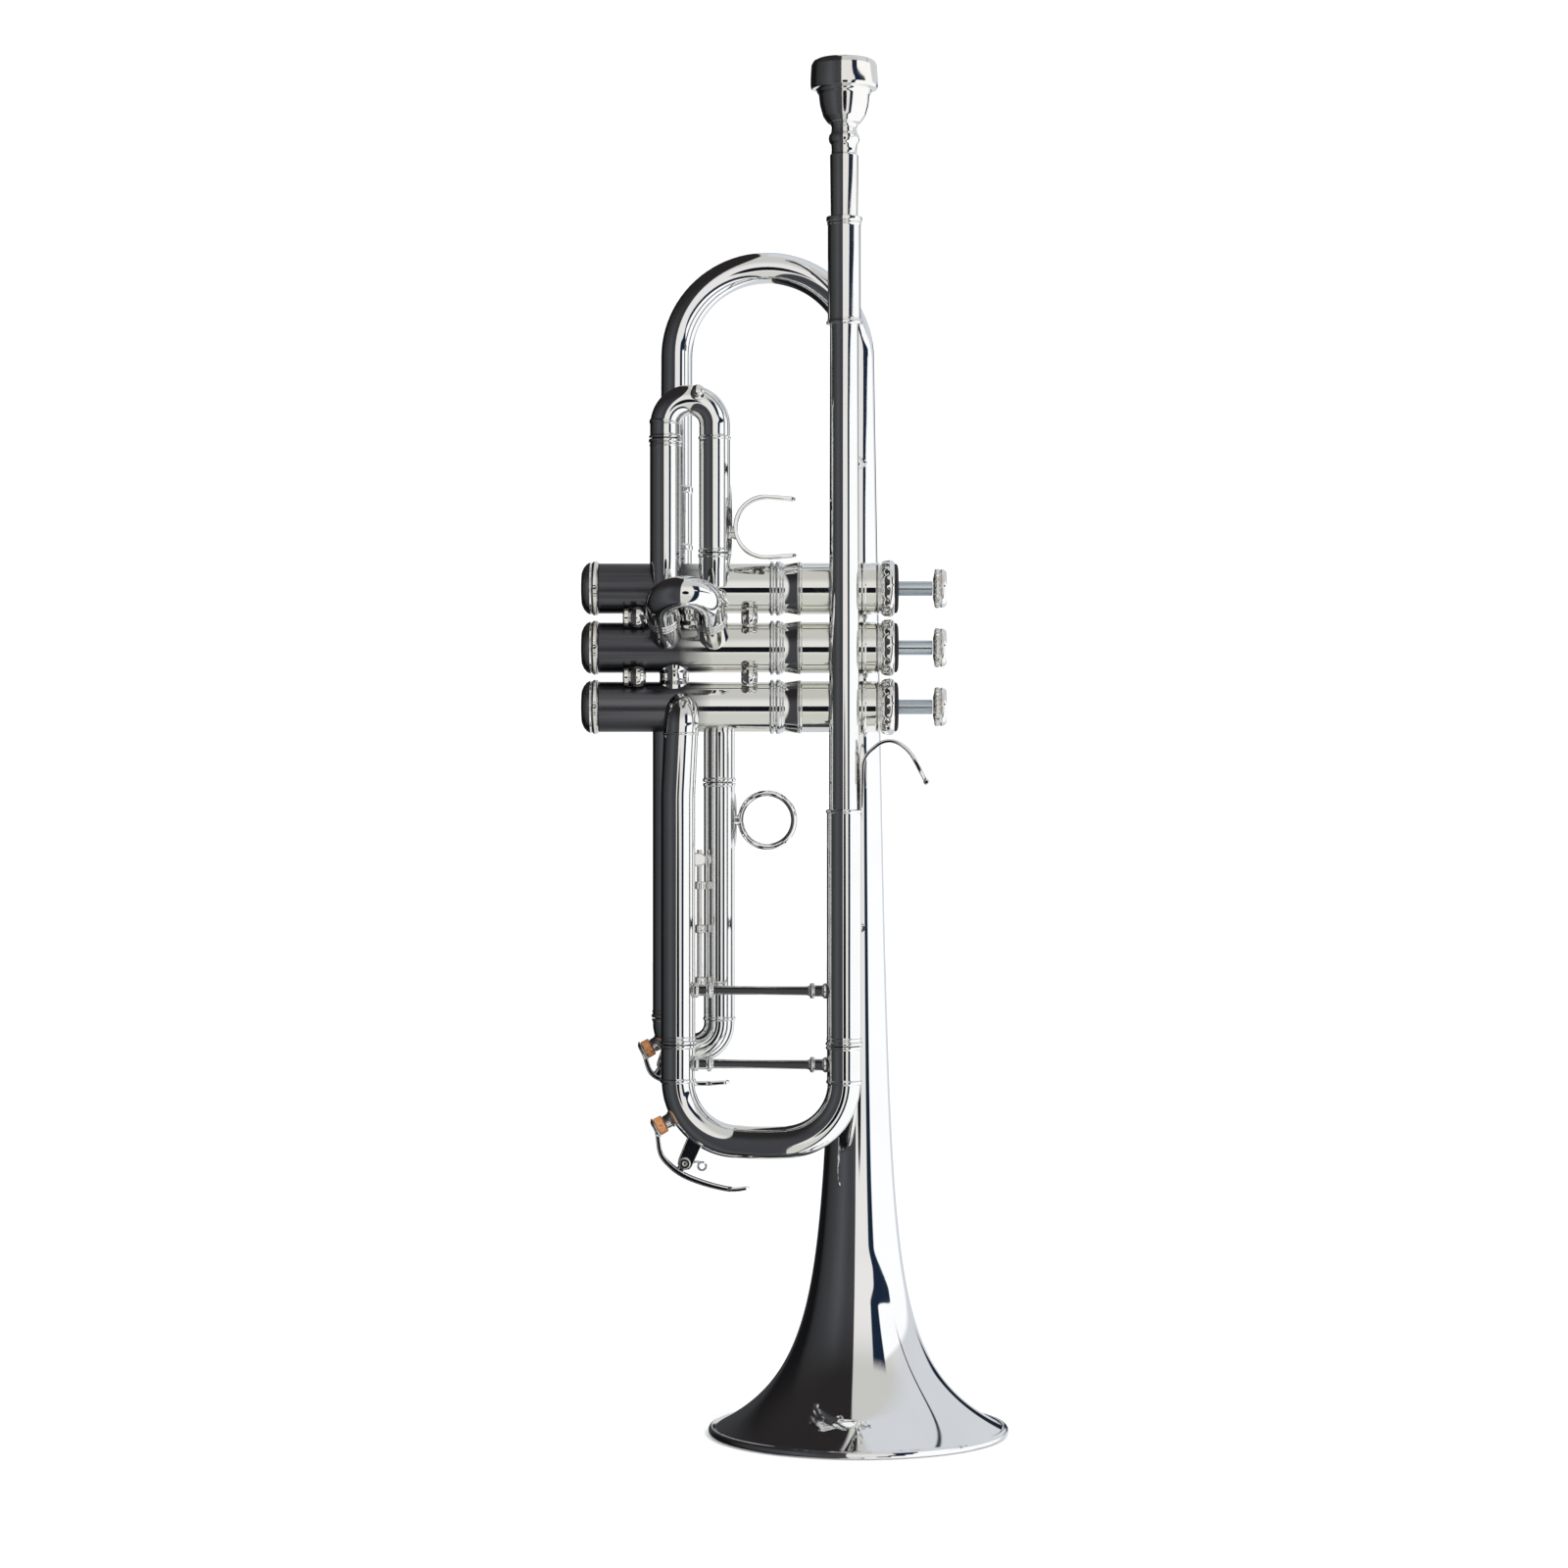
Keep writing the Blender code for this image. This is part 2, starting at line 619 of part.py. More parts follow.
def ray(centre, angle, reach, y):
    """A point at an angle from a bow's centre, in the plane of the bow."""
    a = math.radians(angle)
    return Vector((centre[0] + reach * math.cos(a), y, centre[1] + reach * math.sin(a)))


def make_water_key(key_body, centre, y, bow_outer, lever_points, rib):
    """A sprung lever that presses a cork on a spout: the cork, and the lever with its hinge barrel."""
    spout = ray(centre, SPOUT_ANGLE, bow_outer, y)
    out = (spout - Vector((centre[0], y, centre[1]))).normalized()
    route = Route([spout + out * 3.2, spout + out * 6.6])
    place(
        f"{key_body}_cork", skin(route, [(0, 0), (0, 3.6), (route.length, 3.6), (route.length, 0)], 12),
        key_body, CORK, "cork",
    )
    first = spout + out * 7.8
    along = Vector((0, -1, 0)).cross(out)
    points = [first - along * 3.4, first + along * 3.2] + [Vector((x, y, z)) for x, z in lever_points]
    bends = [4.0] + [9.0] * (len(points) - 3)
    route = Route(points, bends, across=(0, 1, 0))
    length = route.length
    outline = [
        (0, 0), (0.0, (2.6, 0.55)), (2.5, (3.2, 0.7)), (7.0, (2.0, 0.9)), (length * 0.42, (2.0, 1.2)),
        (length * 0.75, (2.2, 0.8)), (length - 3.0, (3.4, 0.7)), (length - 0.4, (2.4, 0.6)), (length, 0),
    ]
    lever = place(f"{key_body}_lever", skin(route, outline, 8), key_body, SILVER)
    pivot = Vector(BODY_AT[key_body])
    half = Vector((0, 2.6, 0))
    barrel = skin(Route([pivot - half, pivot + half]), [(0, 0), (0, 2.2), (5.2, 2.2), (5.2, 0)], 8)
    shape(lever, cutter(f"{key_body}_barrel", barrel, key_body), "UNION")
    seat = Vector((rib[0], y, rib[1]))
    tall = (seat - pivot).length
    web = skin(
        Route([pivot, seat], across=(0, 1, 0)), [(0, 0), (0, (1.9, 1.5)), (tall, (1.6, 2.2)), (tall, 0)], 8,
    )
    shape(lever, cutter(f"{key_body}_web", web, key_body), "UNION")


def make_water_keys():
    centre = (LOW_X + TUNING_BEND, TUNING_BOW_Z + TUNING_BEND)
    outer = TUNING_BEND + TUNING_CROOK_R + 0.2
    make_water_key("water_key", centre, LOW_Y, outer, KEY_ARM, (-72.6, 109.4))
    middle = (THIRD_X[0] + THIRD_X[1]) / 2
    bend = (THIRD_X[1] - THIRD_X[0]) / 2
    centre = (middle, THIRD_Z[2] + bend)
    outer = bend + CROOK_R + 0.3
    make_water_key("third_water_key", centre, THIRD_Y, outer, THIRD_KEY_ARM, (-80.2, 147.0))


# Valve slides -----------------------------------------------------------------------------------

def telescoped(name_low, name_high, casing, base, turned, joint, far):
    """The fixed tubes of a slide: a long outer sleeve, and a stub with the inner tube that stands in it."""
    low, high = base
    route = Route(*turned(low))
    end = route.length - abs(far - joint[1])
    outline = beaded(0, end, SLEEVE_R, SLEEVE_BORE, 0.45, 1.5)
    sleeve = place(name_low, skin(route, outline, SIDES), "horn", SILVER)
    shape(sleeve, casing_space(casing, name_low))
    route = Route(*turned(high))
    foot = route.length - abs(far - joint[0])
    outline = [
        (0, SLEEVE_R), (foot - 1.5, SLEEVE_R), (foot - 1.1, SLEEVE_R + 0.4), (foot, SLEEVE_R), (foot, LEG_R),
        (route.length - 3.0, LEG_R), (route.length - 3.0, LEG_BORE), (0, LEG_BORE),
    ]
    tube = place(name_high, skin(route, outline, SIDES), "horn", SILVER)
    shape(tube, casing_space(casing, name_high))


def make_first_slide():
    z = VALVE_Z[1]
    stub, low_end, high_end, bow = FIRST_Z

    def turned(x):
        return [(x, -6.0, z + 1.0), (x, FIRST_Y, z + 9.5), (x, FIRST_Y, high_end)], (20.0,)

    telescoped("first_slide_sleeve", "first_slide_inner_tube", 1, FIRST_X, turned, (stub, low_end), high_end)
    make_crook("first_slide", FIRST_X, FIRST_Y, stub + GAP, low_end + GAP, high_end, bow, 1)
    make_thumb_saddle()


def make_third_slide():
    z = VALVE_Z[3]
    stub, low_end, bow = THIRD_Z

    def turned(x):
        return [(x, 6.4, z - 1.0), (x, THIRD_Y, z - 9.5), (x, THIRD_Y, low_end)], (20.0,)

    telescoped("third_slide_sleeve", "third_slide_inner_tube", 3, THIRD_X, turned, (stub, low_end), low_end)
    make_crook("third_slide", THIRD_X, THIRD_Y, stub - GAP, low_end - GAP, low_end - GAP, bow, -1)
    make_finger_ring()
    make_stop_rod()


def make_crook(body, legs, y, high_start, low_start, ferrule, bow, way):
    """The moving part of a slide: an outer tube over the fixed inner one, the bow, and an inner leg."""
    low, high = legs
    radius = (high - low) / 2
    reach = 55.0 if way < 0 else 40.0
    corners = [(high, y, high_start), (high, y, bow), (low, y, bow), (low, y, low_start - way * reach)]
    route = Route(corners, (radius, radius))
    length = route.length
    collar = abs(ferrule - high_start)
    leg = length - reach
    outline = [
        (0, CROOK_R), (leg - 1.5, CROOK_R), (leg - 1.0, CROOK_R + 0.4), (leg, CROOK_R + 0.3), (leg, LEG_R),
        (length, LEG_R), (length, LEG_BORE), (collar - 0.5, LEG_BORE), (collar - 0.5, SLEEVE_BORE),
        (0, SLEEVE_BORE),
    ]
    place(f"{body}_crook", skin(route, outline, SIDES), body, SILVER)


def make_second_slide():
    z = VALVE_Z[2]
    way = Vector((SECOND_LEAN, -math.cos(SECOND_TILT), math.sin(SECOND_TILT))).normalized()
    mouth, apex = SECOND_S
    for name, x in zip(("second_slide_sleeve_low", "second_slide_sleeve_high"), SECOND_X):
        base = Vector((x, 0, z))
        route = Route([base + way * 2, base + way * mouth], across=(1, 0, 0))
        outline = beaded(0, route.length, SLEEVE_R, SLEEVE_BORE, 0.4, 1.5)
        tube = place(name, skin(route, outline, SIDES), "horn", SILVER)
        shape(tube, casing_space(2, name))
    low, high = (Vector((x, 0, z)) for x in SECOND_X)
    radius = (high.x - low.x) / 2
    inner = mouth - 8.5
    corners = [low + way * inner, low + way * apex, high + way * apex, high + way * inner]
    route = Route(corners, (radius, radius), across=(1, 0, 0))
    length = route.length
    leg = mouth + GAP - inner
    half = [(0, LEG_R), (leg, LEG_R), (leg, CROOK_R + 0.3), (leg + 1.6, CROOK_R - 0.1)]
    outline = half + [(length - s, r) for s, r in half[::-1]] + [(length, LEG_BORE), (0, LEG_BORE)]
    place("second_slide_crook", skin(route, outline, SIDES), "second_slide", SILVER)


def make_thumb_saddle():
    x, z = SADDLE_AT
    radius = 12.2
    points = [
        (x + 12.0, z + radius - 0.8), (x + 1.0, z + radius), (x - radius, z + radius),
        (x - radius, z - radius), (x + 1.0, z - radius), (x + 12.6, z - radius + 0.9),
    ]
    corners = [(px, FIRST_Y, pz) for px, pz in points]
    route = Route(corners, (20.0, radius, radius, 20.0), across=(0, 1, 0))
    tall = route.length
    half = [(0, 0), (0.3, (3.4, 0.5)), (2.5, (4.4, 0.8))]
    outline = half + [(tall - s, r) for s, r in half[::-1]]
    strip = place("thumb_saddle", skin(route, outline, 10), "first_slide", SILVER)
    edge = FIRST_X[1] + CROOK_R
    foot = Route([(edge + GAP, FIRST_Y, z - 2), (x - radius + 0.4, FIRST_Y, z - 2)])
    tall = foot.length
    post = skin(foot, [(0, 0), (0, 3.4), (tall * 0.4, 3.0), (tall * 0.6, 2.4), (tall, 2.4), (tall, 0)], 10)
    shape(strip, cutter("saddle_foot", post, "first_slide"), "UNION")


def make_finger_ring():
    x, z = RING_AT
    ring = place("finger_ring", ring_mesh(x, THIRD_Y, z, RING_R, 1.25), "third_slide", SILVER)
    edge = THIRD_X[1] + CROOK_R
    plate = block((edge + GAP, THIRD_Y - 2.4, z - 12), (edge + GAP + 1.3, THIRD_Y + 2.4, z + 12), 0.4)
    shape(ring, cutter("ring_foot", plate, "third_slide"), "UNION")


def ring_mesh(x, y, z, radius, wire):
    """A round ring in the XZ plane."""
    axis = Route([(x, y - wire, z), (x, y + wire, z)])
    steps = 6
    outline = []
    for k in range(steps):
        a = 2 * math.pi * (k + 0.5) / steps
        outline.append((wire + wire * math.cos(a), radius + wire * math.sin(a)))
    return skin(axis, outline, 20)


def make_stop_rod():
    """A rod on the fixed sleeve with two nuts, and the eye on the slide that runs along it."""
    y = THIRD_Y - ROD_OUT
    z0, z1 = ROD_Z
    route = along_z(ROD_X, y, z0, z1)
    outline = [
        (0, 0), (0, 1.2), (1.2, 2.6), (4.2, 2.6), (5.4, 1.2), (21.0, 1.2), (21.8, 2.7), (25.6, 2.7),
        (26.4, 1.2), (z1 - z0, 1.2), (z1 - z0, 0),
    ]
    rod = place("third_stop_rod", skin(route, outline, 8), "horn", SILVER)
    edge = THIRD_X[0] + beside(SLEEVE_R, ROD_OUT - 1.6) + GAP
    lug = block((edge, y - 1.6, 233.0), (ROD_X + 1.2, y + 1.6, 238.6), 0.4)
    shape(rod, cutter("stop_rod_lug", lug, "horn"), "UNION")
    edge = THIRD_X[1] - beside(CROOK_R, ROD_OUT - 2.4) - GAP
    eye = place(
        "third_slide_stop_eye", block((ROD_X - 2.9, y - 2.4, 224.0), (edge, y + 2.4, 227.0), 0.4),
        "third_slide", SILVER, smooth=False,
    )
    hole = along_z(ROD_X, y, 222.0, 229.0)
    shape(eye, cutter("stop_eye_hole", skin(hole, [(0, 0), (0, 1.6), (7, 1.6), (7, 0)], 8), "third_slide"))


def beside(radius, off):
    """How far a round tube reaches sideways at a distance off its middle."""
    return math.sqrt(radius ** 2 - off ** 2)


# Hook and braces --------------------------------------------------------------------------------

def make_pinky_hook():
    edge = LEAD_X + 6.2 + GAP + 0.8
    points = [(edge, 256.0), (edge + 0.2, 277.5), (11.6, 286.2), (20.0, 279.5), (26.3, 267.6)]
    corners = [(x, LEAD_Y, z) for x, z in points]
    route = Route(corners, (9.0, 8.0, 14.0), across=(0, 1, 0))
    tall = route.length
    outline = [
        (0, 0), (0.4, (2.2, 0.5)), (5.0, (3.2, 0.75)), (tall * 0.5, (3.4, 0.85)), (tall - 6.0, (3.4, 0.85)),
        (tall - 0.5, (2.6, 0.9)), (tall, 0),
    ]
    place("pinky_hook", skin(route, outline, 10), "horn", SILVER)


def make_bell_braces():
    for side, lead_r in (("upper", 5.95), ("lower", TUNING_R)):
        z = BELL_BRACE_Z[side]
        a = Vector((LEAD_X, LEAD_Y, z))
        b = Vector((0, BELL_Y, z))
        way = (b - a).normalized()
        ends = [a + way * (lead_r + GAP), b - way * (bell_radius(z) + GAP)]
        route = Route(ends, across=(0, 0, 1))
        outline = post_outline(route.length, 1.9, 2.9, 4.5)
        place(f"bell_brace_{side}", skin(route, outline, 8), "horn", SILVER)


def main():
    clear_scene()
    make_empties()
    make_bell()
    make_leadpipe()
    make_mouthpiece()
    for number in VALVE_Z:
        make_casing(number)
        make_caps(number)
        make_valve(number)
        make_guide_and_spring(number)
    make_block_tubes()
    make_tuning_slide()
    make_water_keys()
    make_first_slide()
    make_second_slide()
    make_third_slide()
    make_pinky_hook()
    make_bell_braces()


main()
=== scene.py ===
import json
import math
from math import cos, pi, radians, sin

import bmesh
import bpy
from mathutils import Matrix, Vector


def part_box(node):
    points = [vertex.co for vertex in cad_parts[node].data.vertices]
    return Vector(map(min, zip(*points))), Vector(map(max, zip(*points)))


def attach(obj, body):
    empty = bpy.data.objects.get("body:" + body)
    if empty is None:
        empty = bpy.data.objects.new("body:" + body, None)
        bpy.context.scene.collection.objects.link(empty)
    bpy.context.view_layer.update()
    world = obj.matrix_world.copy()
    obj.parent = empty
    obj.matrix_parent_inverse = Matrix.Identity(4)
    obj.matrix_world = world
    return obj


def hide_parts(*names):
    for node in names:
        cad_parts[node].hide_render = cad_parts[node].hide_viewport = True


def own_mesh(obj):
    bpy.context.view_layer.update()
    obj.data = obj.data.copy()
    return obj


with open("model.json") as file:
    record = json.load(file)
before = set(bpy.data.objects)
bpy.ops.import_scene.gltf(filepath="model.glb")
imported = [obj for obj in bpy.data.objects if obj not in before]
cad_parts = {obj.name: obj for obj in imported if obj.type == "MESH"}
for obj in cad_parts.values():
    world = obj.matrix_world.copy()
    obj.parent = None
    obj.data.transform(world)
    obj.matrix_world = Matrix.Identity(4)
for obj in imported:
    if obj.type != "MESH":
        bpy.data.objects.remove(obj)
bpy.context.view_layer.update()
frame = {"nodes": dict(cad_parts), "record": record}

# A silver piston trumpet standing on its bell rim. Sizes are in millimetres. Places are measured
# from HOME: the bell's axis in X, the plane of the valve axes in Y and the bell rim in Z.

MM = 0.001
BEHAVIOUR = frame["record"]["behaviour"]
BODY_OF = {node: body for body, nodes in BEHAVIOUR["bodies"].items() for node in nodes}


def corners(node):
    """Lowest and highest corner of a CAD node, in millimetres from HOME."""
    low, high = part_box(node)
    return low / MM - HOME, high / MM - HOME


def middle(node):
    low, high = corners(node)
    return (low + high) / 2


HOME = Vector((0, 0, 0))
HOME = Vector((middle("bell_rim_wire").x, middle("valve_casing_1").y, 0))
NUMBERS = (1, 2, 3)
VALVE_Z = {n: middle(f"valve_casing_{n}").z for n in NUMBERS}
BELL_Y = middle("bell_rim_wire").y
LEAD_X, LEAD_Y = middle("leadpipe").xy

# Finish of the surfaces: flats round a tube and bend angle between two of its rings
SIDES = 64
BELL_SIDES = 160
TURN_STEP = radians(4)
HOLD = 0.3                   # from a rounded corner to the ring that keeps the next face flat

# Bell: the sheet's radius falls from the rim as a taper and a flare
RIM_WIRE_R = 1.6
RIM_R = corners("bell_rim_wire")[1].x
SHEET = 0.6
TAIL_R = 6.3
BOW_R = 37.3
BOW_TOP = corners("bell")[1].z - TAIL_R
BELL_STRAIGHT = BOW_TOP - BOW_R
TAIL_X = -2 * BOW_R
TAIL_TURN, TAIL_TURN_R = (TAIL_X, 9.5, 385), 60
TAIL_END = (TAIL_X, 7.5, VALVE_Z[1] + 4)
BELL_TAPER = 7.0
FLARE, FLARE_LENGTH, FLARE_POWER = 51.5, 67.7, 3

# Valves
CASING_R = 10.2
POST_Y = -7.6
THREAD_R = 9.7
CASING_BORE = 8.8
STEM_R = 3.0
POLISH_X = (-68, -56)        # where the lower casings' painted dark reflection at the foot turns into the polished part

# Slides: outer tubes, legs that stand in them, and crooks
SLEEVE_R, SLEEVE_BORE = 6.35, 5.75
LEG_R, LEG_BORE = 5.45, 4.9
CROOK_R = 6.3
TUNING_R, TUNING_BORE = 6.95, 6.4
TUNING_LEG_R, TUNING_LEG_BORE = 6.1, 5.55
TUNING_CROOK_R = 6.6


# Shapes ---------------------------------------------------------------------------------------

class Route:
    """A centre line through corner points, with a bend of the given radius at each inner corner."""

    def __init__(self, corner_points, bends=(), across=None):
        points = [Vector(c) for c in corner_points]
        line = [(points[0], (points[1] - points[0]).normalized())]
        for before, corner, after, radius in zip(points, points[1:], points[2:], bends):
            line += self.bend(before, corner, after, radius)
        line.append((points[-1], (points[-1] - points[-2]).normalized()))
        self.follow(line, across)

    @staticmethod
    def bend(before, corner, after, radius):
        arriving = (corner - before).normalized()
        leaving = (after - corner).normalized()
        angle = arriving.angle(leaving)
        start = corner - arriving * radius * math.tan(angle / 2)
        inward = (leaving - arriving * arriving.dot(leaving)).normalized()
        centre = start + inward * radius
        steps = max(3, math.ceil(angle / TURN_STEP))
        found = []
        for k in range(steps + 1):
            a = angle * k / steps
            point = centre - inward * radius * cos(a) + arriving * radius * sin(a)
            found.append((point, arriving * cos(a) + inward * sin(a)))
        return found

    def follow(self, line, across):
        """Keeps the points with their distances, and normals that don't twist round the line."""
        self.stations = [(0.0, *line[0])]
        for point, tangent in line[1:]:
            s, last = self.stations[-1][:2]
            step = (point - last).length
            if step > 1e-4:
                self.stations.append((s + step, point, tangent))
        self.length = self.stations[-1][0]
        tangent = self.stations[0][2]
        guide = Vector(across) if across else Vector((0, 1, 0))
        if abs(guide.normalized().dot(tangent)) > 0.95:
            guide = Vector((1, 0, 0))
        normal = (guide - tangent * guide.dot(tangent)).normalized()
        self.normals = [normal]
        for _, _, after in self.stations[1:]:
            normal = tangent.rotation_difference(after) @ normal
            normal = (normal - after * normal.dot(after)).normalized()
            self.normals.append(normal)
            tangent = after

    def at(self, s):
        """The point, the normal and the side direction at the distance s along the line."""
        s = min(max(s, 0.0), self.length)
        k = 0
        while k < len(self.stations) - 2 and self.stations[k + 1][0] < s - 1e-6:
            k += 1
        s0, p0, t0 = self.stations[k]
        s1, p1, t1 = self.stations[k + 1]
        part = (s - s0) / (s1 - s0)
        tangent = t0.lerp(t1, part).normalized()
        normal = self.normals[k].lerp(self.normals[k + 1], part)
        normal = (normal - tangent * normal.dot(tangent)).normalized()
        return p0.lerp(p1, part), normal, tangent.cross(normal)

    def between(self, s0, s1):
        low, high = sorted((s0, s1))
        found = [s for s, _, _ in self.stations if low + 0.02 < s < high - 0.02]
        return found if s1 > s0 else found[::-1]


def coil(x0, x1, z, radius, wire, turns, steps):
    """The centre line of a coil spring along X."""
    line = []
    for k in range(turns * steps + 1):
        a = 2 * pi * k / steps
        x = x0 + wire + (x1 - x0 - 2 * wire) * k / (turns * steps)
        rise = Vector(((x1 - x0) / turns / (2 * pi), -radius * sin(a), radius * cos(a)))
        line.append((Vector((x, radius * cos(a), z + radius * sin(a))), rise.normalized()))
    route = Route([(0, 0, 0), (1, 0, 0)])
    route.follow(line, None)
    return route


def flowing(points, across=None, steps=8):
    """A smooth centre line through every point."""
    points = [Vector(p) for p in points]
    ways = [(b - a) / 2 for a, b in zip(points[:1] + points[:-1], points[1:] + points[-1:])]
    ways[0] *= 2
    ways[-1] *= 2
    line = []
    for a, b, leave, arrive in zip(points, points[1:], ways, ways[1:]):
        for k in range(steps + 1):
            t = k / steps
            place = a * (2 * t ** 3 - 3 * t ** 2 + 1) + leave * (t ** 3 - 2 * t ** 2 + t)
            place += b * (3 * t ** 2 - 2 * t ** 3) + arrive * (t ** 3 - t ** 2)
            way = a * (6 * t ** 2 - 6 * t) + leave * (3 * t ** 2 - 4 * t + 1)
            way += b * (6 * t - 6 * t ** 2) + arrive * (3 * t ** 2 - 2 * t)
            line.append((place, way.normalized()))
    route = Route([points[0], points[-1]])
    route.follow(line, across)
    return route


def mix(a, b, part):
    if isinstance(a, tuple):
        return tuple(x + (y - x) * part for x, y in zip(a, b))
    return a + (b - a) * part


def softened(outline, closed, fillet):
    """The outline with its corners rounded off, as a lathe and a polishing wheel leave them."""
    made = []
    count = len(outline)
    for k, (s, r) in enumerate(outline):
        first, last = k == 0, k == count - 1
        if isinstance(r, tuple) or (not closed and (first or last)):
            made.append((s, r))
            continue
        corner = Vector((s, r))
        before = Vector(outline[k - 1]) - corner
        after = Vector(outline[(k + 1) % count]) - corner
        reach_in, reach_out = (min(fillet, way.length * 0.45) for way in (before, after))
        if min(before.length, after.length) < 1e-6 or before.angle(-after) < radians(12):
            made.append((s, r))
            continue
        start = corner + before.normalized() * reach_in
        end = corner + after.normalized() * reach_out
        hold_in = start + before.normalized() * min(HOLD, (before.length / 2 - reach_in) * 0.6)
        hold_out = end + after.normalized() * min(HOLD, (after.length / 2 - reach_out) * 0.6)
        made.append(tuple(hold_in))
        for part in (0, 0.25, 0.5, 0.75, 1):
            made.append(tuple(start.lerp(corner, part).lerp(corner.lerp(end, part), part)))
        made.append(tuple(hold_out))
    return made


def skin(route, outline, sides=SIDES, fillet=0.25, ripple=None):
    """A closed mesh: the outline (distance, radius) carried round the route.

    An outline that begins and ends on the line makes a solid, and any other makes a tube's wall. A
    radius may be a pair, half the width along the normal and half the thickness across it, which
    makes a strap. A ripple (teeth, depth, from, to) cuts flutes between two distances.
    """
    closed = outline[0][1] != 0
    outline = softened(outline, closed, fillet)
    full = []
    for k in range(len(outline) if closed else len(outline) - 1):
        s0, r0 = outline[k]
        s1, r1 = outline[(k + 1) % len(outline)]
        full.append((s0, r0))
        full += [(s, mix(r0, r1, (s - s0) / (s1 - s0))) for s in route.between(s0, s1)]
    if not closed:
        full.append(outline[-1])
    mesh = bmesh.new()
    rings = []
    for s, radius in full:
        point, normal, side = route.at(s)
        if radius == 0:
            rings.append([mesh.verts.new(point)])
            continue
        strap = isinstance(radius, tuple)
        wide, thick = radius if strap else (radius, radius)
        places = strap_section(wide, thick, sides) if strap else []
        for k in range(0 if strap else sides):
            a = 2 * pi * (k + 0.5) / sides
            cut = 0
            if ripple and ripple[2] <= s <= ripple[3]:
                cut = ripple[1] * (0.5 - 0.5 * cos(ripple[0] * a))
            places.append(((wide - cut) * cos(a), (thick - cut) * sin(a)))
        rings.append([mesh.verts.new(point + normal * u + side * v) for u, v in places])
    pairs = list(zip(rings, rings[1:]))
    if closed:
        pairs.append((rings[-1], rings[0]))
    for one, two in pairs:
        join_rings(mesh, one, two)
    bmesh.ops.recalc_face_normals(mesh, faces=mesh.faces)
    if mesh.calc_volume(signed=True) < 0:
        bmesh.ops.reverse_faces(mesh, faces=mesh.faces)
    return mesh


def strap_section(wide, thick, count):
    """Points round a rectangle with these half sizes and rounded corners."""
    edge = min(wide, thick) * 0.4
    hold = min(wide, thick) * 0.25
    per = count // 4
    places = []
    for corner, (u, v) in enumerate(((1, 1), (-1, 1), (-1, -1), (1, -1))):
        begin = corner * pi / 2
        for k in range(per):
            a = begin + pi / 2 * min(max(k - 1, 0), per - 3) / (per - 3)
            slide = {0: -hold, per - 1: hold}.get(k, 0)
            places.append((
                u * (wide - edge) + edge * cos(a) - slide * sin(a),
                v * (thick - edge) + edge * sin(a) + slide * cos(a),
            ))
    return places


def join_rings(mesh, one, two):
    count = max(len(one), len(two))
    for k in range(count):
        n = (k + 1) % count
        if len(one) == 1:
            mesh.faces.new((one[0], two[k], two[n]))
        elif len(two) == 1:
            mesh.faces.new((one[k], two[0], one[n]))
        else:
            mesh.faces.new((one[k], two[k], two[n], one[n]))


def along_x(x0, x1, z, y=0.0):
    return Route([(x0, y, z), (x1, y, z)])


def along_z(x, y, z0, z1):
    return Route([(x, y, z0), (x, y, z1)])


def piece(name, mesh, finish, node, stands_for=None, sharp=40):
    """Puts a mesh in the scene, on the body of a CAD node, in place of the CAD nodes it stands for."""
    mesh.transform(Matrix.Scale(MM, 4) @ Matrix.Translation(HOME))
    data = bpy.data.meshes.new(name)
    mesh.to_mesh(data)
    mesh.free()
    data.materials.append(finish)
    data.shade_smooth()
    data.set_sharp_from_angle(angle=radians(sharp))
    made = bpy.data.objects.new(name, data)
    bpy.context.scene.collection.objects.link(made)
    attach(made, BODY_OF[node])
    if stands_for is None:
        stands_for = (node,)
    if stands_for:
        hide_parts(*stands_for)
    return made


# Materials ------------------------------------------------------------------------------------

def group(name, inputs, outputs):
    """An empty node group with its sockets: {name: default} in, {name: type} out."""
    tree = bpy.data.node_groups.new(name, "ShaderNodeTree")
    for label, value in inputs.items():
        kind = "NodeSocketColor" if isinstance(value, tuple) else "NodeSocketFloat"
        socket = tree.interface.new_socket(label, in_out="INPUT", socket_type=kind)
        socket.default_value = value
    for label, kind in outputs.items():
        tree.interface.new_socket(label, in_out="OUTPUT", socket_type=f"NodeSocket{kind}")
    return tree, tree.nodes.new("NodeGroupInput").outputs, tree.nodes.new("NodeGroupOutput").inputs


def add(tree, kind, settings=(), **values):
    """A node with its settings, and with values or links on its inputs by name."""
    node = tree.nodes.new("ShaderNode" + kind)
    for key, value in dict(settings).items():
        setattr(node, key, value)
    for key, value in values.items():
        socket = node.inputs[int(key[1:])] if key[0] == "i" and key[1:].isdigit() else node.inputs[key]
        if isinstance(value, bpy.types.NodeSocket):
            tree.links.new(value, socket)
        else:
            socket.default_value = value
    return node


def maths(tree, operation, a, b=0.0, clamp=False):
    node = add(tree, "Math", {"operation": operation, "use_clamp": clamp}, i0=a, i1=b)
    return node.outputs[0]


def spread(tree, value, low, high, to_low, to_high):
    """The value carried from one range to another."""
    node = add(tree, "MapRange")
    for socket, number in zip(node.inputs, (value, low, high, to_low, to_high)):
        if isinstance(number, bpy.types.NodeSocket):
            tree.links.new(number, socket)
        else:
            socket.default_value = number
    return node.outputs[0]


def noise(tree, place, scale, detail=3.0, stretch=(1, 1, 1), rough=0.5):
    moved = add(tree, "Mapping", i0=place, i3=stretch)
    made = add(tree, "TexNoise", Scale=scale, Detail=detail, Roughness=rough, Vector=moved.outputs[0])
    return made.outputs[0]


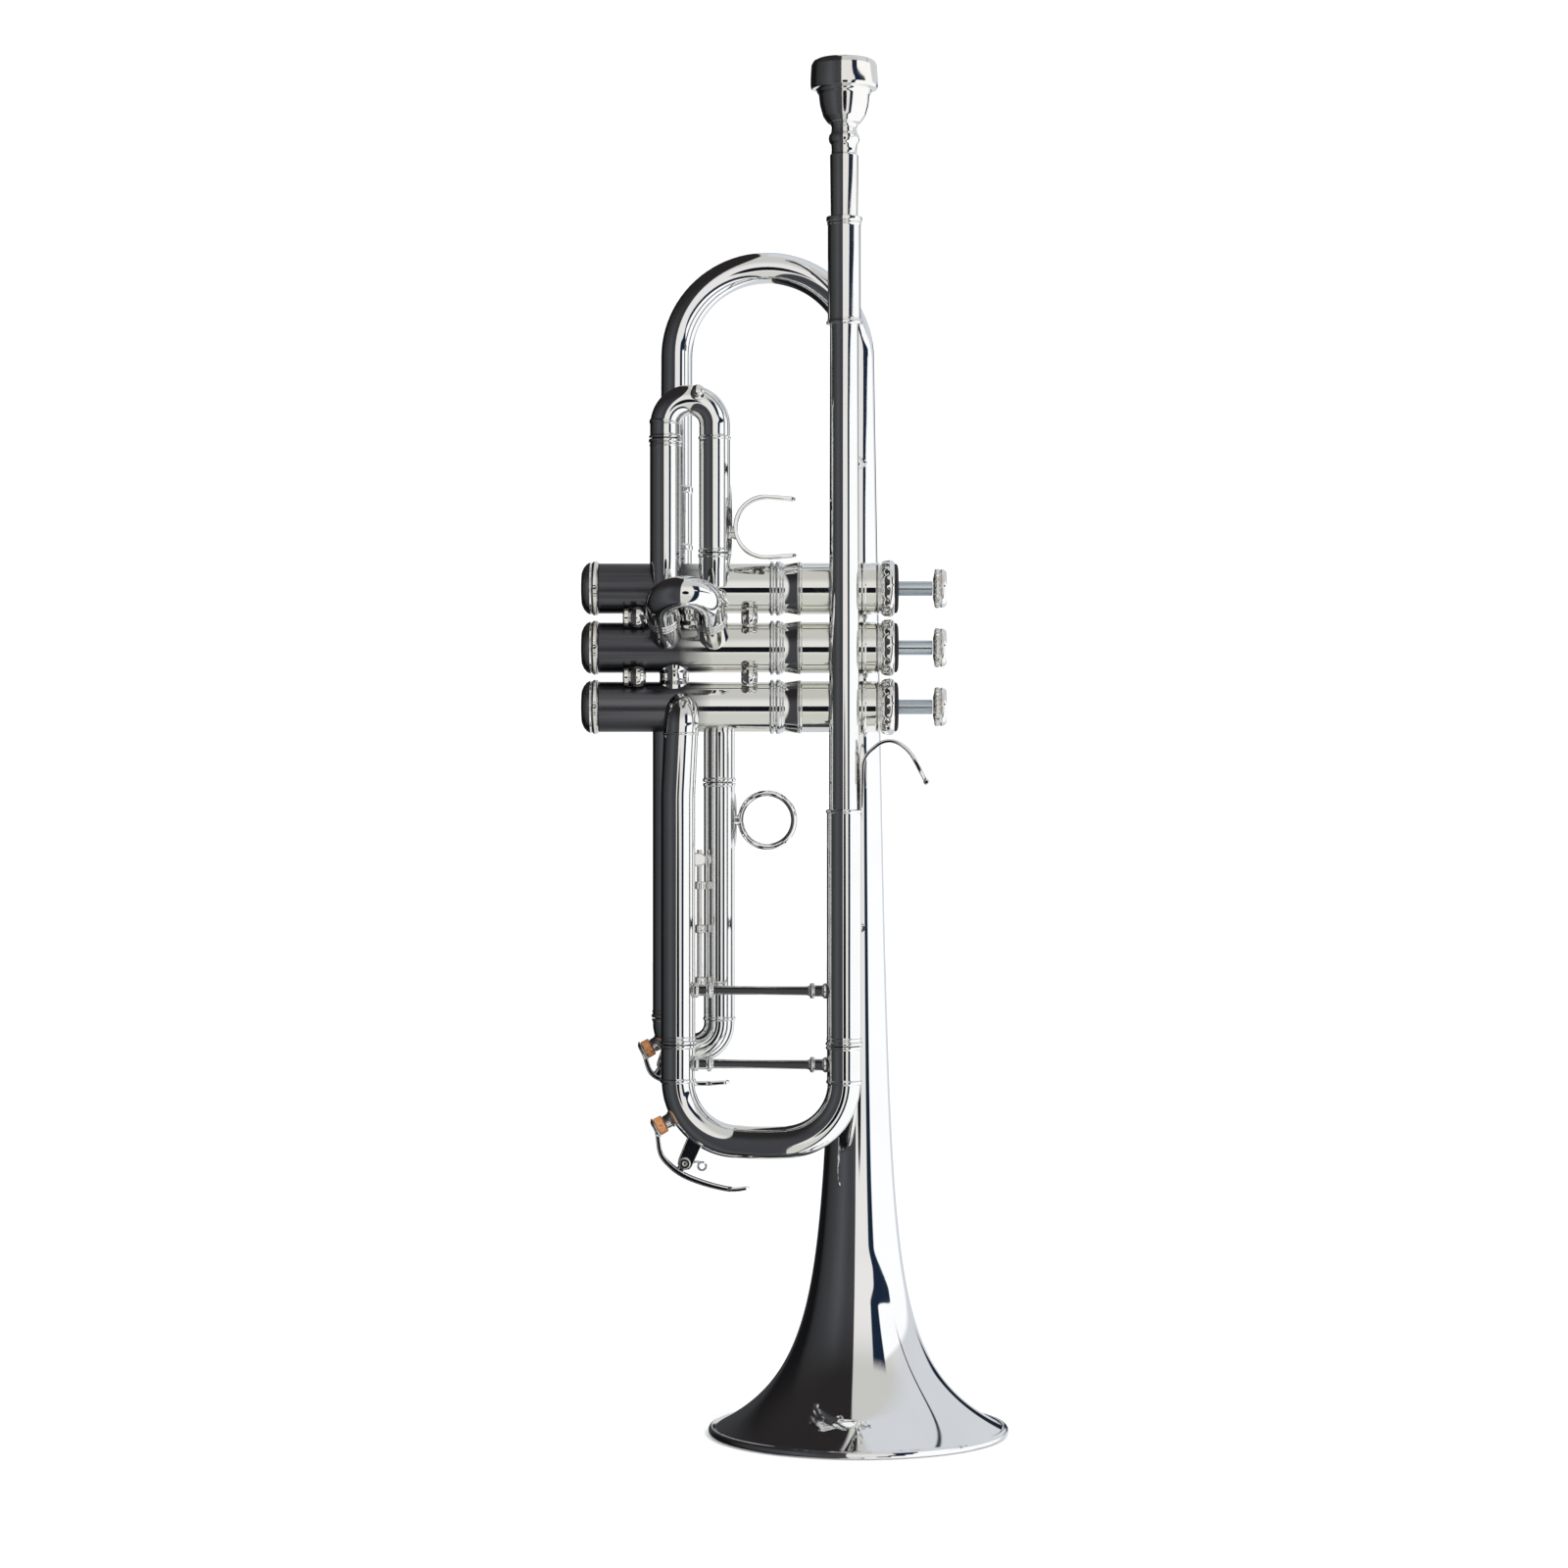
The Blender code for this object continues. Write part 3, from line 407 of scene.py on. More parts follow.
def blend_colours(tree, mask, one, two, kind="MIX"):
    node = add(tree, "Mix", {"data_type": "RGBA", "blend_type": kind}, i0=mask, i6=one, i7=two)
    return node.outputs[2]


def make_polish_group():
    """Buffed plate: faint waves, hairline scratches and breath of tarnish over the surface."""
    tree, given, result = group(
        "buffed_plate",
        {"Colour": (0.9, 0.9, 0.9, 1), "Tarnish": (0.7, 0.66, 0.58, 1), "Cloud": 0.2, "Gloss": 0.04,
         "Smear": 0.05, "Wave": 0.2, "Scratch": 0.1},
        {"Colour": "Color", "Roughness": "Float", "Normal": "Vector"},
    )
    place = add(tree, "TexCoord").outputs["Object"]
    cloud = spread(tree, noise(tree, place, 42, 4), 0.42, 0.72, 0, 1)
    haze = maths(tree, "MULTIPLY", cloud, given["Cloud"])
    tree.links.new(blend_colours(tree, haze, given["Colour"], given["Tarnish"]), result["Colour"])
    smears = spread(tree, noise(tree, place, 95, 5, (1, 1, 0.35)), 0.45, 0.75, 0, 1)
    rough = add(tree, "Math", {"operation": "MULTIPLY_ADD"}, i0=smears, i1=given["Smear"], i2=given["Gloss"])
    tree.links.new(rough.outputs[0], result["Roughness"])
    waves = maths(tree, "MULTIPLY", noise(tree, place, 26, 1), given["Wave"])
    lines = maths(tree, "MULTIPLY", noise(tree, place, 900, 2, (1, 1, 0.06)), given["Scratch"])
    height = maths(tree, "ADD", waves, maths(tree, "MULTIPLY", lines, 0.01))
    bump = add(tree, "Bump", Strength=1.0, Distance=0.001, Height=height)
    tree.links.new(bump.outputs[0], result["Normal"])
    return tree


def make_drawn_group():
    """Drawn or lapped metal: streaks that run along the X axis."""
    tree, given, result = group(
        "drawn_streaks",
        {"Light": (0.5, 0.5, 0.5, 1), "Dark": (0.3, 0.3, 0.3, 1), "Gloss": 0.15, "Spread": 0.1},
        {"Colour": "Color", "Roughness": "Float", "Normal": "Vector"},
    )
    place = add(tree, "TexCoord").outputs["Object"]
    streaks = noise(tree, place, 520, 4, (0.03, 1, 1))
    bands = noise(tree, place, 150, 2, (0.02, 1, 1))
    shade = spread(tree, maths(tree, "ADD", streaks, bands), 0.8, 1.25, 0, 1)
    tree.links.new(blend_colours(tree, shade, given["Light"], given["Dark"]), result["Colour"])
    rough = add(tree, "Math", {"operation": "MULTIPLY_ADD"}, i0=shade, i1=given["Spread"], i2=given["Gloss"])
    tree.links.new(rough.outputs[0], result["Roughness"])
    bump = add(tree, "Bump", Strength=0.5, Distance=0.00001, Height=streaks)
    tree.links.new(bump.outputs[0], result["Normal"])
    return tree


def new_material(name, metallic):
    made = bpy.data.materials.new(name)
    made.use_nodes = True
    shader = made.node_tree.nodes["Principled BSDF"]
    shader.inputs["Metallic"].default_value = metallic
    return made, made.node_tree, shader


def finish_of(name, effect, settings, metallic=1.0):
    """A material whose colour, roughness and normal come from one of the effects."""
    made, tree, shader = new_material(name, metallic)
    node = use(tree, effect, settings)
    for label, target in (("Colour", "Base Color"), ("Roughness", "Roughness"), ("Normal", "Normal")):
        tree.links.new(node.outputs[label], shader.inputs[target])
    return made


def use(tree, effect, settings):
    node = tree.nodes.new("ShaderNodeGroup")
    node.node_tree = effect
    for label, value in settings.items():
        node.inputs[label].default_value = value
    return node


def make_lower_casing_painted_reflection():
    """Painted dark reflection with faint streaks at the foot, and polished from the slides up to the collar.
    """
    made, tree, shader = new_material("lower_casing", 1.0)
    # The foot's near-black colour is a painted reflection of the dark room; the faint streaks over it are the
    # drawn metal's own.
    foot = use(tree, drawn, {
        "Light": (0.155, 0.155, 0.17, 1), "Dark": (0.10, 0.10, 0.112, 1), "Gloss": 0.22, "Spread": 0.12})
    bright = use(tree, polish, {
        "Colour": (0.90, 0.90, 0.88, 1), "Tarnish": (0.80, 0.79, 0.72, 1), "Cloud": 0.4, "Gloss": 0.05,
        "Smear": 0.05, "Wave": 0.10, "Scratch": 0.08})
    place = add(tree, "TexCoord").outputs["Object"]
    drift = noise(tree, place, 60, 2)
    along = add(tree, "SeparateXYZ", i0=place).outputs[0]
    at = add(tree, "Math", {"operation": "MULTIPLY_ADD"}, i0=drift, i1=0.008, i2=along).outputs[0]
    begin, end = ((HOME.x + x) * MM for x in POLISH_X)
    part = spread(tree, at, begin, end, 0, 1)
    colour = blend_colours(tree, part, foot.outputs["Colour"], bright.outputs["Colour"])
    tree.links.new(colour, shader.inputs["Base Color"])
    rough = add(tree, "Mix", {"data_type": "FLOAT"}, i0=part, i2=foot.outputs["Roughness"])
    tree.links.new(bright.outputs["Roughness"], rough.inputs[3])
    tree.links.new(rough.outputs[0], shader.inputs["Roughness"])
    tree.links.new(bright.outputs["Normal"], shader.inputs["Normal"])
    return made


def make_cork():
    made, tree, shader = new_material("natural_cork", 0.0)
    place = add(tree, "TexCoord").outputs["Object"]
    grain = add(tree, "TexVoronoi", Scale=1100.0, Vector=place)
    fleck = spread(tree, noise(tree, place, 900, 4), 0.55, 0.68, 0, 1)
    body = blend_colours(tree, grain.outputs["Distance"], (0.36, 0.145, 0.055, 1), (0.60, 0.28, 0.115, 1))
    tree.links.new(blend_colours(tree, fleck, body, (0.10, 0.035, 0.015, 1)), shader.inputs["Base Color"])
    tree.links.new(spread(tree, fleck, 0, 1, 0.7, 0.95), shader.inputs["Roughness"])
    bump = add(tree, "Bump", Strength=0.6, Distance=0.0002, Height=grain.outputs["Distance"])
    tree.links.new(bump.outputs[0], shader.inputs["Normal"])
    return made


def make_pearl():
    made, tree, shader = new_material("mother_of_pearl", 0.0)
    place = add(tree, "TexCoord").outputs["Object"]
    layers = add(tree, "TexWave", Scale=160.0, Distortion=9.0, Detail=3.0, Vector=place)
    sheen = noise(tree, place, 230, 2)
    warm = blend_colours(tree, layers.outputs["Fac"], (0.93, 0.90, 0.86, 1), (0.78, 0.84, 0.83, 1))
    rosy = spread(tree, sheen, 0.45, 0.7, 0, 0.6)
    tree.links.new(blend_colours(tree, rosy, warm, (0.90, 0.78, 0.82, 1)), shader.inputs["Base Color"])
    tree.links.new(spread(tree, sheen, 0, 1, 0.12, 0.3), shader.inputs["Roughness"])
    shader.inputs["Coat Weight"].default_value = 0.6
    return made


def make_felt():
    made, tree, shader = new_material("pressed_felt", 0.0)
    place = add(tree, "TexCoord").outputs["Object"]
    fibres = noise(tree, place, 2600, 6, (1, 1, 1), 0.7)
    wool = blend_colours(tree, fibres, (0.003, 0.003, 0.004, 1), (0.022, 0.022, 0.025, 1))
    tree.links.new(wool, shader.inputs["Base Color"])
    tree.links.new(spread(tree, fibres, 0, 1, 0.85, 1), shader.inputs["Roughness"])
    bump = add(tree, "Bump", Strength=0.8, Distance=0.0003, Height=fibres)
    tree.links.new(bump.outputs[0], shader.inputs["Normal"])
    return made


polish = make_polish_group()
drawn = make_drawn_group()
SILVER = finish_of("silver_plate", polish, {
    "Colour": (0.93, 0.93, 0.92, 1), "Tarnish": (0.84, 0.82, 0.77, 1), "Cloud": 0.35, "Gloss": 0.035,
    "Smear": 0.035, "Wave": 0.12, "Scratch": 0.06})
BELL_SILVER = finish_of("bell_silver", polish, {
    "Colour": (0.94, 0.94, 0.94, 1), "Tarnish": (0.86, 0.85, 0.82, 1), "Cloud": 0.3, "Gloss": 0.03,
    "Smear": 0.03, "Wave": 0.10, "Scratch": 0.04})
BRIGHT_CASING = finish_of("bright_casing", polish, {
    "Colour": (0.90, 0.90, 0.86, 1), "Tarnish": (0.80, 0.79, 0.70, 1), "Cloud": 0.5, "Gloss": 0.05,
    "Smear": 0.06, "Wave": 0.10, "Scratch": 0.1})
TURNED = finish_of("turned_silver", polish, {
    "Colour": (0.93, 0.92, 0.90, 1), "Tarnish": (0.82, 0.76, 0.64, 1), "Cloud": 0.4, "Gloss": 0.05,
    "Smear": 0.06, "Wave": 0.05, "Scratch": 0.1})
LOWER_CASING_PAINTED_REFLECTION = make_lower_casing_painted_reflection()
STEEL = finish_of("stem_steel", drawn, {
    "Light": (0.66, 0.72, 0.77, 1), "Dark": (0.44, 0.50, 0.55, 1), "Gloss": 0.16, "Spread": 0.12})
NICKEL = finish_of("lapped_nickel", drawn, {
    "Light": (0.58, 0.56, 0.50, 1), "Dark": (0.40, 0.39, 0.35, 1), "Gloss": 0.22, "Spread": 0.15})
CORK = make_cork()
PEARL = make_pearl()
FELT = make_felt()


# Bell -------------------------------------------------------------------------------------------

def bell_radius(z):
    """The bell's outer radius at a height above the rim."""
    return TAIL_R + BELL_TAPER * (1 - z / BELL_STRAIGHT) + FLARE / (1 + z / FLARE_LENGTH) ** FLARE_POWER


def make_bell():
    line = [(0, BELL_Y, 0), (0, BELL_Y, BOW_TOP), (TAIL_X, BELL_Y, BOW_TOP), TAIL_TURN, TAIL_END]
    route = Route(line, (BOW_R, BOW_R, TAIL_TURN_R))
    lip = RIM_WIRE_R + 0.4
    steps = 150
    heights = [lip + (BELL_STRAIGHT - lip) * (k / steps) ** 2 for k in range(steps + 1)]
    outer = [(z, bell_radius(z)) for z in heights] + [(route.length, TAIL_R)]
    inner = [(s, r - SHEET) for s, r in outer[::-1]]
    piece("bell_sheet", skin(route, outer + inner, BELL_SIDES, 0.05), BELL_SILVER, "bell", sharp=50)
    reach = RIM_R - RIM_WIRE_R
    bead = []
    for k in range(24):
        a = 2 * pi * k / 24
        bead.append((RIM_WIRE_R * (1 + sin(a)), reach + RIM_WIRE_R * cos(a)))
    rim = skin(along_z(0, BELL_Y, 0, 10), bead, BELL_SIDES, 0)
    piece("bell_rim_bead", rim, BELL_SILVER, "bell_rim_wire", sharp=60)
    top = TAIL_R + 0.55
    ferrule = [
        (0, TAIL_R), (0.4, top), (2.6, top), (3.0, TAIL_R + 0.2), (24, TAIL_R + 0.2), (24.4, top), (26, top),
        (26.4, TAIL_R), (26.4, TAIL_R - 0.3), (0, TAIL_R - 0.3),
    ]
    collar = Route([(TAIL_X, 9.5, 388), (TAIL_X, 7.7, 358)])
    piece("bell_tail_ferrule", skin(collar, ferrule), SILVER, "bell", ())


# Leadpipe, receiver and mouthpiece ------------------------------------------------------------

def make_leadpipe():
    low, high = corners("leadpipe")
    route = along_z(LEAD_X, LEAD_Y, low.z, high.z)
    tall = route.length
    outline = [(0, 6.05), (14, 6.1), (tall, 5.65), (tall, 4.6), (0, 5.4)]
    piece("leadpipe_tube", skin(route, outline), SILVER, "leadpipe")
    low, high = corners("mouthpiece_receiver")
    route = along_z(LEAD_X, LEAD_Y, low.z, high.z)
    tall = route.length
    r = 6.6
    outline = [
        (0, r - 0.3), (0, r + 0.55), (1.2, r + 0.55), (1.5, r + 0.1), (2.0, r + 0.1), (2.3, r),
        (tall - 3.4, r), (tall - 3.2, r + 0.3), (tall - 2.6, r + 0.3), (tall - 2.3, r),
        (tall - 1.9, r + 0.6), (tall - 0.2, r + 0.6), (tall, r), (tall, 5.75), (tall - 20, 5.2),
        (tall - 20, 5.9), (0, 5.9),
    ]
    piece("receiver_tube", skin(route, outline), SILVER, "mouthpiece_receiver")


def make_mouthpiece():
    low, high = corners("mouthpiece")
    route = along_z(LEAD_X, LEAD_Y, low.z, high.z)
    tall = route.length

    def down(depth):
        return tall - depth

    outside = [
        (0, 4.7), (down(63), 5.4), (down(39.6), 5.7), (down(38.3), 5.7), (down(38.0), 5.15),
        (down(36.2), 5.05), (down(34.2), 5.2), (down(33.2), 6.0), (down(31.8), 6.25), (down(30.4), 6.0),
        (down(29.6), 5.3),
        (down(27.4), 5.0), (down(26.2), 5.4), (down(25.4), 6.7), (down(23.0), 8.4), (down(18.5), 9.7),
        (down(14.2), 10.2), (down(13.3), 10.9), (down(12.3), 11.0), (down(12.0), 13.2), (down(10.8), 13.5),
        (down(8.0), 13.5), (down(2.6), 13.2), (down(1.0), 12.4), (down(0.2), 11.0), (tall, 10.2),
    ]
    inside = [
        (down(0.4), 9.1), (down(1.8), 8.3), (down(6), 8.0), (down(10), 7.2), (down(13), 5.6), (down(15), 3.4),
        (down(16.4), 1.9), (down(22), 1.9), (0, 4.2),
    ]
    piece("mouthpiece_body", skin(route, outside + inside, 96, 0.35), TURNED, "mouthpiece")


# Valves -----------------------------------------------------------------------------------------

def make_casing(number):
    node = f"valve_casing_{number}"
    z = VALVE_Z[number]
    low, high = (corner.x for corner in corners(node))
    skirt = corners(f"bottom_cap_{number}")[1].x
    neck = corners(f"top_cap_{number}")[0].x
    joint = -36.2
    route = along_x(low, joint, z)
    lower = [(0, THREAD_R), (skirt - low, THREAD_R), (skirt - low, CASING_R), (joint - low, CASING_R)]
    lower += [(joint - low, CASING_BORE), (0, CASING_BORE)]
    # The foot of this casing carries a painted dark reflection in its material.
    piece(f"lower_casing_{number}", skin(route, lower, 96), LOWER_CASING_PAINTED_REFLECTION, node)
    route = along_x(joint, -24.6, z)
    ring = [
        (0, 10.0), (0.2, 11.1), (1.2, 11.1), (1.4, 10.3), (2.4, 10.3), (2.7, 11.2), (3.9, 11.2), (4.2, 10.6),
        (5.0, 10.6), (5.3, 10.1), (6.0, 10.1), (11.4, 10.85), (11.6, 9.0), (0, 9.0),
    ]
    piece(f"casing_collar_{number}", skin(route, ring, 96), SILVER, node, ())
    route = along_x(-24.9, high, z)
    end = neck - 0.3 + 24.9
    upper = [
        (0, 10.6), (0.3, 10.85), (1.1, 10.85), (1.4, 10.35), (end - 6, 10.35), (end - 5.6, 10.6),
        (end - 4.6, 10.6), (end - 4.3, 10.35), (end, 10.35), (end, THREAD_R), (high + 24.9, THREAD_R),
        (high + 24.9, CASING_BORE), (0, CASING_BORE),
    ]
    piece(f"upper_casing_{number}", skin(route, upper, 96), BRIGHT_CASING, node, ())


def make_caps(number):
    z = VALVE_Z[number]
    low, high = corners(f"bottom_cap_{number}")
    route = along_x(low.x, high.x, z)
    tall = route.length
    outline = [
        (0.5, 0), (0.45, 4.2), (0, 5.4), (0.1, 6.6), (1.0, 8.6), (2.3, 10.0), (3.6, 10.65), (4.1, 10.4),
        (4.5, 10.4), (4.8, 11.0), (6.4, 11.0), (6.7, 10.5), (tall - 0.1, 10.4), (tall, THREAD_R + 0.15),
        (1.9, THREAD_R + 0.15), (1.9, 0),
    ]
    cap = skin(route, outline, 288, 0.3, (72, 0.12, 4.7, 6.5))
    piece(f"bottom_cap_shell_{number}", cap, TURNED, f"bottom_cap_{number}")
    # The vent hole is drawn as a near-black felt plug: painted shade inside the hole.
    hole = Route([(low.x + 5.6, -10.2, z), (low.x + 5.6, -11.06, z)])
    vent_shade = skin(hole, [(0, 0), (0, 0.85), (0.86, 0.85), (0.7, 0.45), (0.5, 0)], 24, 0.05)
    piece(f"vent_{number}", vent_shade, FELT, f"bottom_cap_{number}", ())
    low, high = corners(f"top_cap_{number}")
    route = along_x(low.x, high.x, z)
    tall = route.length
    outline = [
        (0, 10.3), (0.3, 10.6), (0.8, 10.6), (1.0, 10.0), (1.5, 9.9), (1.8, 10.5), (2.4, 11.1), (3.2, 11.45),
        (4.4, 11.6), (5.6, 11.55), (6.5, 11.3), (7.0, 10.8), (tall - 1.1, 10.2), (tall - 1.1, STEM_R + 0.5),
        (tall - 2.2, STEM_R + 0.5), (tall - 2.2, THREAD_R + 0.2), (0, THREAD_R + 0.2),
    ]
    cap = skin(route, outline, 288, 0.4, (18, 0.35, 2.2, 4.8))
    piece(f"top_cap_shell_{number}", cap, TURNED, f"top_cap_{number}")
    route = along_x(high.x - 1.0, high.x + 0.4, z)
    hole = STEM_R + 0.45
    washer = [(0, hole), (0, 9.8), (0.2, 10.1), (0.8, 9.9), (1.2, 9.3), (1.4, 8.3), (1.4, hole)]
    piece(f"cap_felt_{number}", skin(route, washer, 64, 0.2), FELT, f"top_cap_{number}", ())


def make_valve(number):
    z = VALVE_Z[number]
    stem_low, stem_high = (corner.x for corner in corners(f"valve_stem_{number}"))
    low, high = (corner.x for corner in corners(f"finger_button_{number}"))
    route = along_x(stem_low, stem_high, z)
    tall = route.length
    outline = [
        (0, 0), (0, 4.2), (1.4, 4.2), (1.6, 3.4), (2.4, STEM_R), (tall, STEM_R), (tall, 0),
    ]
    piece(f"stem_rod_{number}", skin(route, outline), STEEL, f"valve_stem_{number}")
    route = along_x(low, high, z)
    tall = route.length
    outline = [
        (0, 0), (0, 3.9), (0.4, 5.4), (0.6, 7.0), (0.9, 7.9), (2.5, 8.0), (2.7, 7.5), (3.0, 7.5), (3.3, 7.9),
        (4.2, 7.8), (5.0, 7.3), (tall - 0.1, 6.6), (tall - 0.2, 6.2), (tall - 0.9, 6.0), (tall - 0.9, 0),
    ]
    button = skin(route, outline, 240, 0.25, (24, 0.6, 0.7, 2.6))
    piece(f"button_body_{number}", button, TURNED, f"finger_button_{number}")
    route = along_x(high - 1.2, high + 0.1, z)
    pearl = [(0, 0), (0, 6.1), (0.6, 6.1), (0.9, 5.8), (1.1, 4.6), (1.05, 2.5), (0.95, 0)]
    piece(f"button_pearl_{number}", skin(route, pearl, 64, 0.3), PEARL, f"finger_button_{number}", ())


def make_springs():
    for number in NUMBERS:
        low, high = corners(f"valve_spring_{number}")
        wire = 0.4
        route = coil(low.x, high.x, VALVE_Z[number], 4.6, wire, 6, 40)
        wound = skin(route, [(0, 0), (0, wire), (route.length, wire), (route.length, 0)], 12, 0.05)
        made = piece(f"spring_coil_{number}", wound, STEEL, f"valve_spring_{number}")
        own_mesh(made)


POSTS = {
    "low": [
        (0, 0), (0, 2.9), (0.3, 3.5), (2.3, 3.5), (2.6, 2.7), (2.9, 2.7), (3.2, 3.5), (4.2, 4.1),
        (5.6, 4.3), (7.2, 4.1), (8.4, 3.5), (8.9, 2.6),
    ],
    "high": [
        (1.2, 0), (1.2, 2.2), (1.6, 2.6), (1.9, 3.4), (3.2, 4.0), (4.6, 4.15), (6.0, 3.9), (7.1, 3.2),
        (7.4, 2.4), (7.8, 2.2), (8.0, 0),
    ],
}


def make_block_tubes():
    for upper, lower in ((1, 2), (2, 3)):
        pair = f"{upper}_{lower}"
        low, high = corners(f"crossover_{pair}")
        x = (low.x + high.x) / 2
        route = along_z(x, 0, VALVE_Z[lower] + 7, VALVE_Z[upper] - 7)
        tall = route.length
        half = [(0, 7.3), (2.0, 6.9), (3.4, 6.0), (4.0, 5.9)]
        outline = half + [(tall - s, r) for s, r in half[::-1]] + [(tall, 5.2), (0, 5.2)]
        piece(f"crossover_tube_{pair}", skin(route, outline), SILVER, f"crossover_{pair}")
        for side in ("low", "high"):
            node = f"casing_post_{pair}_{side}"
            low, high = corners(node)
            valley = (VALVE_Z[upper] + VALVE_Z[lower]) / 2
            route = along_x(low.x, high.x, valley, POST_Y)
            end = [(route.length - 0.2, 2.2), (route.length, 0)] if side == "low" else []
            post = skin(route, POSTS[side] + end, 48, 0.3)
            piece(f"turned_post_{pair}_{side}", post, TURNED, node)


# Main tuning slide ------------------------------------------------------------------------------

def beaded_end(length, outer, bore, start_bead=False):
    """A sleeve's outline with a rolled bead at its mouth, and one at its root if asked."""
    start = [(0, -0.25), (0.3, 0.4), (1.2, 0.4), (1.5, 0)] if start_bead else [(0, 0)]
    end = [
        (3.0, 0), (2.8, 0.2), (2.3, 0.2), (2.1, 0), (1.5, 0), (1.2, 0.5), (0.3, 0.5), (0, 0.1),
    ]
    outline = [(s, outer + rise) for s, rise in start]
    outline += [(length - s, outer + rise) for s, rise in end]
    return outline + [(length, bore), (0, bore)]


def make_tuning_sleeves():
    low, high = corners("tuning_sleeve_upper")
    route = along_z(LEAD_X, LEAD_Y, high.z, low.z)
    outline = beaded_end(route.length, TUNING_R, TUNING_BORE, True)
    piece("upper_tuning_sleeve", skin(route, outline), SILVER, "tuning_sleeve_upper")
    top = VALVE_Z[3] - 0.5
    turn_x = LOW_X + 1.7
    line = [(turn_x, -1.5, top), (turn_x, LOW_Y, top), (LOW_X, LOW_Y, top - 35), (LOW_X, LOW_Y, low.z)]
    route = Route(line, (8.5, 80))
    outline = beaded_end(route.length, TUNING_R, TUNING_BORE)
    piece("lower_tuning_sleeve", skin(route, outline), SILVER, "tuning_sleeve_lower")
    r = TUNING_R
    knuckle = [(0, r + 0.05), (0.3, r + 0.3), (0.9, r + 0.3), (1.2, r), (1.2, 6.5), (0, 6.5)]
    ring = skin(along_z(LOW_X + 1.2, LOW_Y, top - 10.0, top - 12.0), knuckle)
    piece("knuckle_ring", ring, SILVER, "tuning_sleeve_lower", ())


def make_tuning_crook():
    low, high = corners("tuning_crook")
    mouth = corners("tuning_sleeve_upper")[0].z
    bow = low.z + TUNING_CROOK_R
    centre = Vector((LEAD_X + LOW_X, LEAD_Y + LOW_Y, 2 * bow)) / 2
    line = [
        (LEAD_X, LEAD_Y, high.z), (LEAD_X, LEAD_Y, bow + BOW_LIFT), centre,
        (LOW_X, LOW_Y, bow + BOW_LIFT), (LOW_X, LOW_Y, high.z),
    ]
    route = Route(line, (TUNING_BEND, BOW_SWEEP, TUNING_BEND))
    leg = high.z - mouth + 0.3
    r = TUNING_R
    half = [
        (0, TUNING_LEG_R), (leg, TUNING_LEG_R), (leg, r + 0.45), (leg + 1.0, r + 0.45), (leg + 1.3, r - 0.05),
        (leg + 13.6, r - 0.05), (leg + 13.9, r + 0.3), (leg + 14.9, r + 0.3), (leg + 15.2, TUNING_CROOK_R),
    ]
    length = route.length
    outline = half + [(length - s, radius) for s, radius in half[::-1]]
    outline += [(length, TUNING_LEG_BORE), (0, TUNING_LEG_BORE)]
    piece("tuning_slide_crook", skin(route, outline), SILVER, "tuning_crook")


def brace_outline(length, rod):
    """A rod between two turned sockets."""
    half = [
        (0, 0), (0, 3.0), (0.9, 3.15), (1.3, 2.9), (1.5, 2.4), (5.0, 2.35), (5.2, 2.9), (5.6, 3.2),
        (6.3, 3.2), (6.7, 2.9), (6.9, rod + 0.3), (7.6, rod + 0.05),
    ]
    return half + [(length / 2, rod - 0.1)] + [(length - s, r) for s, r in half[::-1]]


def leaf(at, toward, up, long, wide, radius, thick=0.9):
    """A pointed flange wrapped on a tube of the given radius whose axis runs along up."""
    side = up.cross(toward).normalized()
    mesh = bmesh.new()
    steps = 14
    rows = []
    for k in range(steps + 1):
        t = 2 * k / steps - 1
        half = wide * max(0.03, cos(t * pi / 2)) ** 0.8
        row = []
        for j in range(7):
            a = (j / 3 - 1) * half / radius
            out = radius + thick * (1 - 0.55 * abs(j / 3 - 1)) * (1 - 0.5 * t * t)
            row.append(mesh.verts.new(at + up * t * long + (toward * cos(a) + side * sin(a)) * out))
        rows.append(row)
    for one, two in zip(rows, rows[1:]):
        for j in range(6):
            mesh.faces.new((one[j], one[j + 1], two[j + 1], two[j]))
    bmesh.ops.solidify(mesh, geom=mesh.faces[:], thickness=-0.8)
    bmesh.ops.recalc_face_normals(mesh, faces=mesh.faces)
    return mesh


def make_tuning_braces():
    for node, name in (("tuning_brace_fixed", "sleeve_brace"), ("tuning_brace_moving", "crook_brace")):
        z = middle(node).z
        a = Vector((LEAD_X, LEAD_Y, z))
        b = Vector((LOW_X, LOW_Y, z))
        way = (b - a).normalized()
        route = Route([a + way * TUNING_R, b - way * TUNING_R])
        piece(name, skin(route, brace_outline(route.length, 1.85), 48, 0.2), SILVER, node)
        for side, centre, out in (("lead", a, way), ("low", b, -way)):
            flange = leaf(centre, out, Vector((0, 0, 1)), 3.0, 4.6, TUNING_R)
            piece(f"{name}_flange_{side}", flange, SILVER, node, ())


# Valve slides -----------------------------------------------------------------------------------

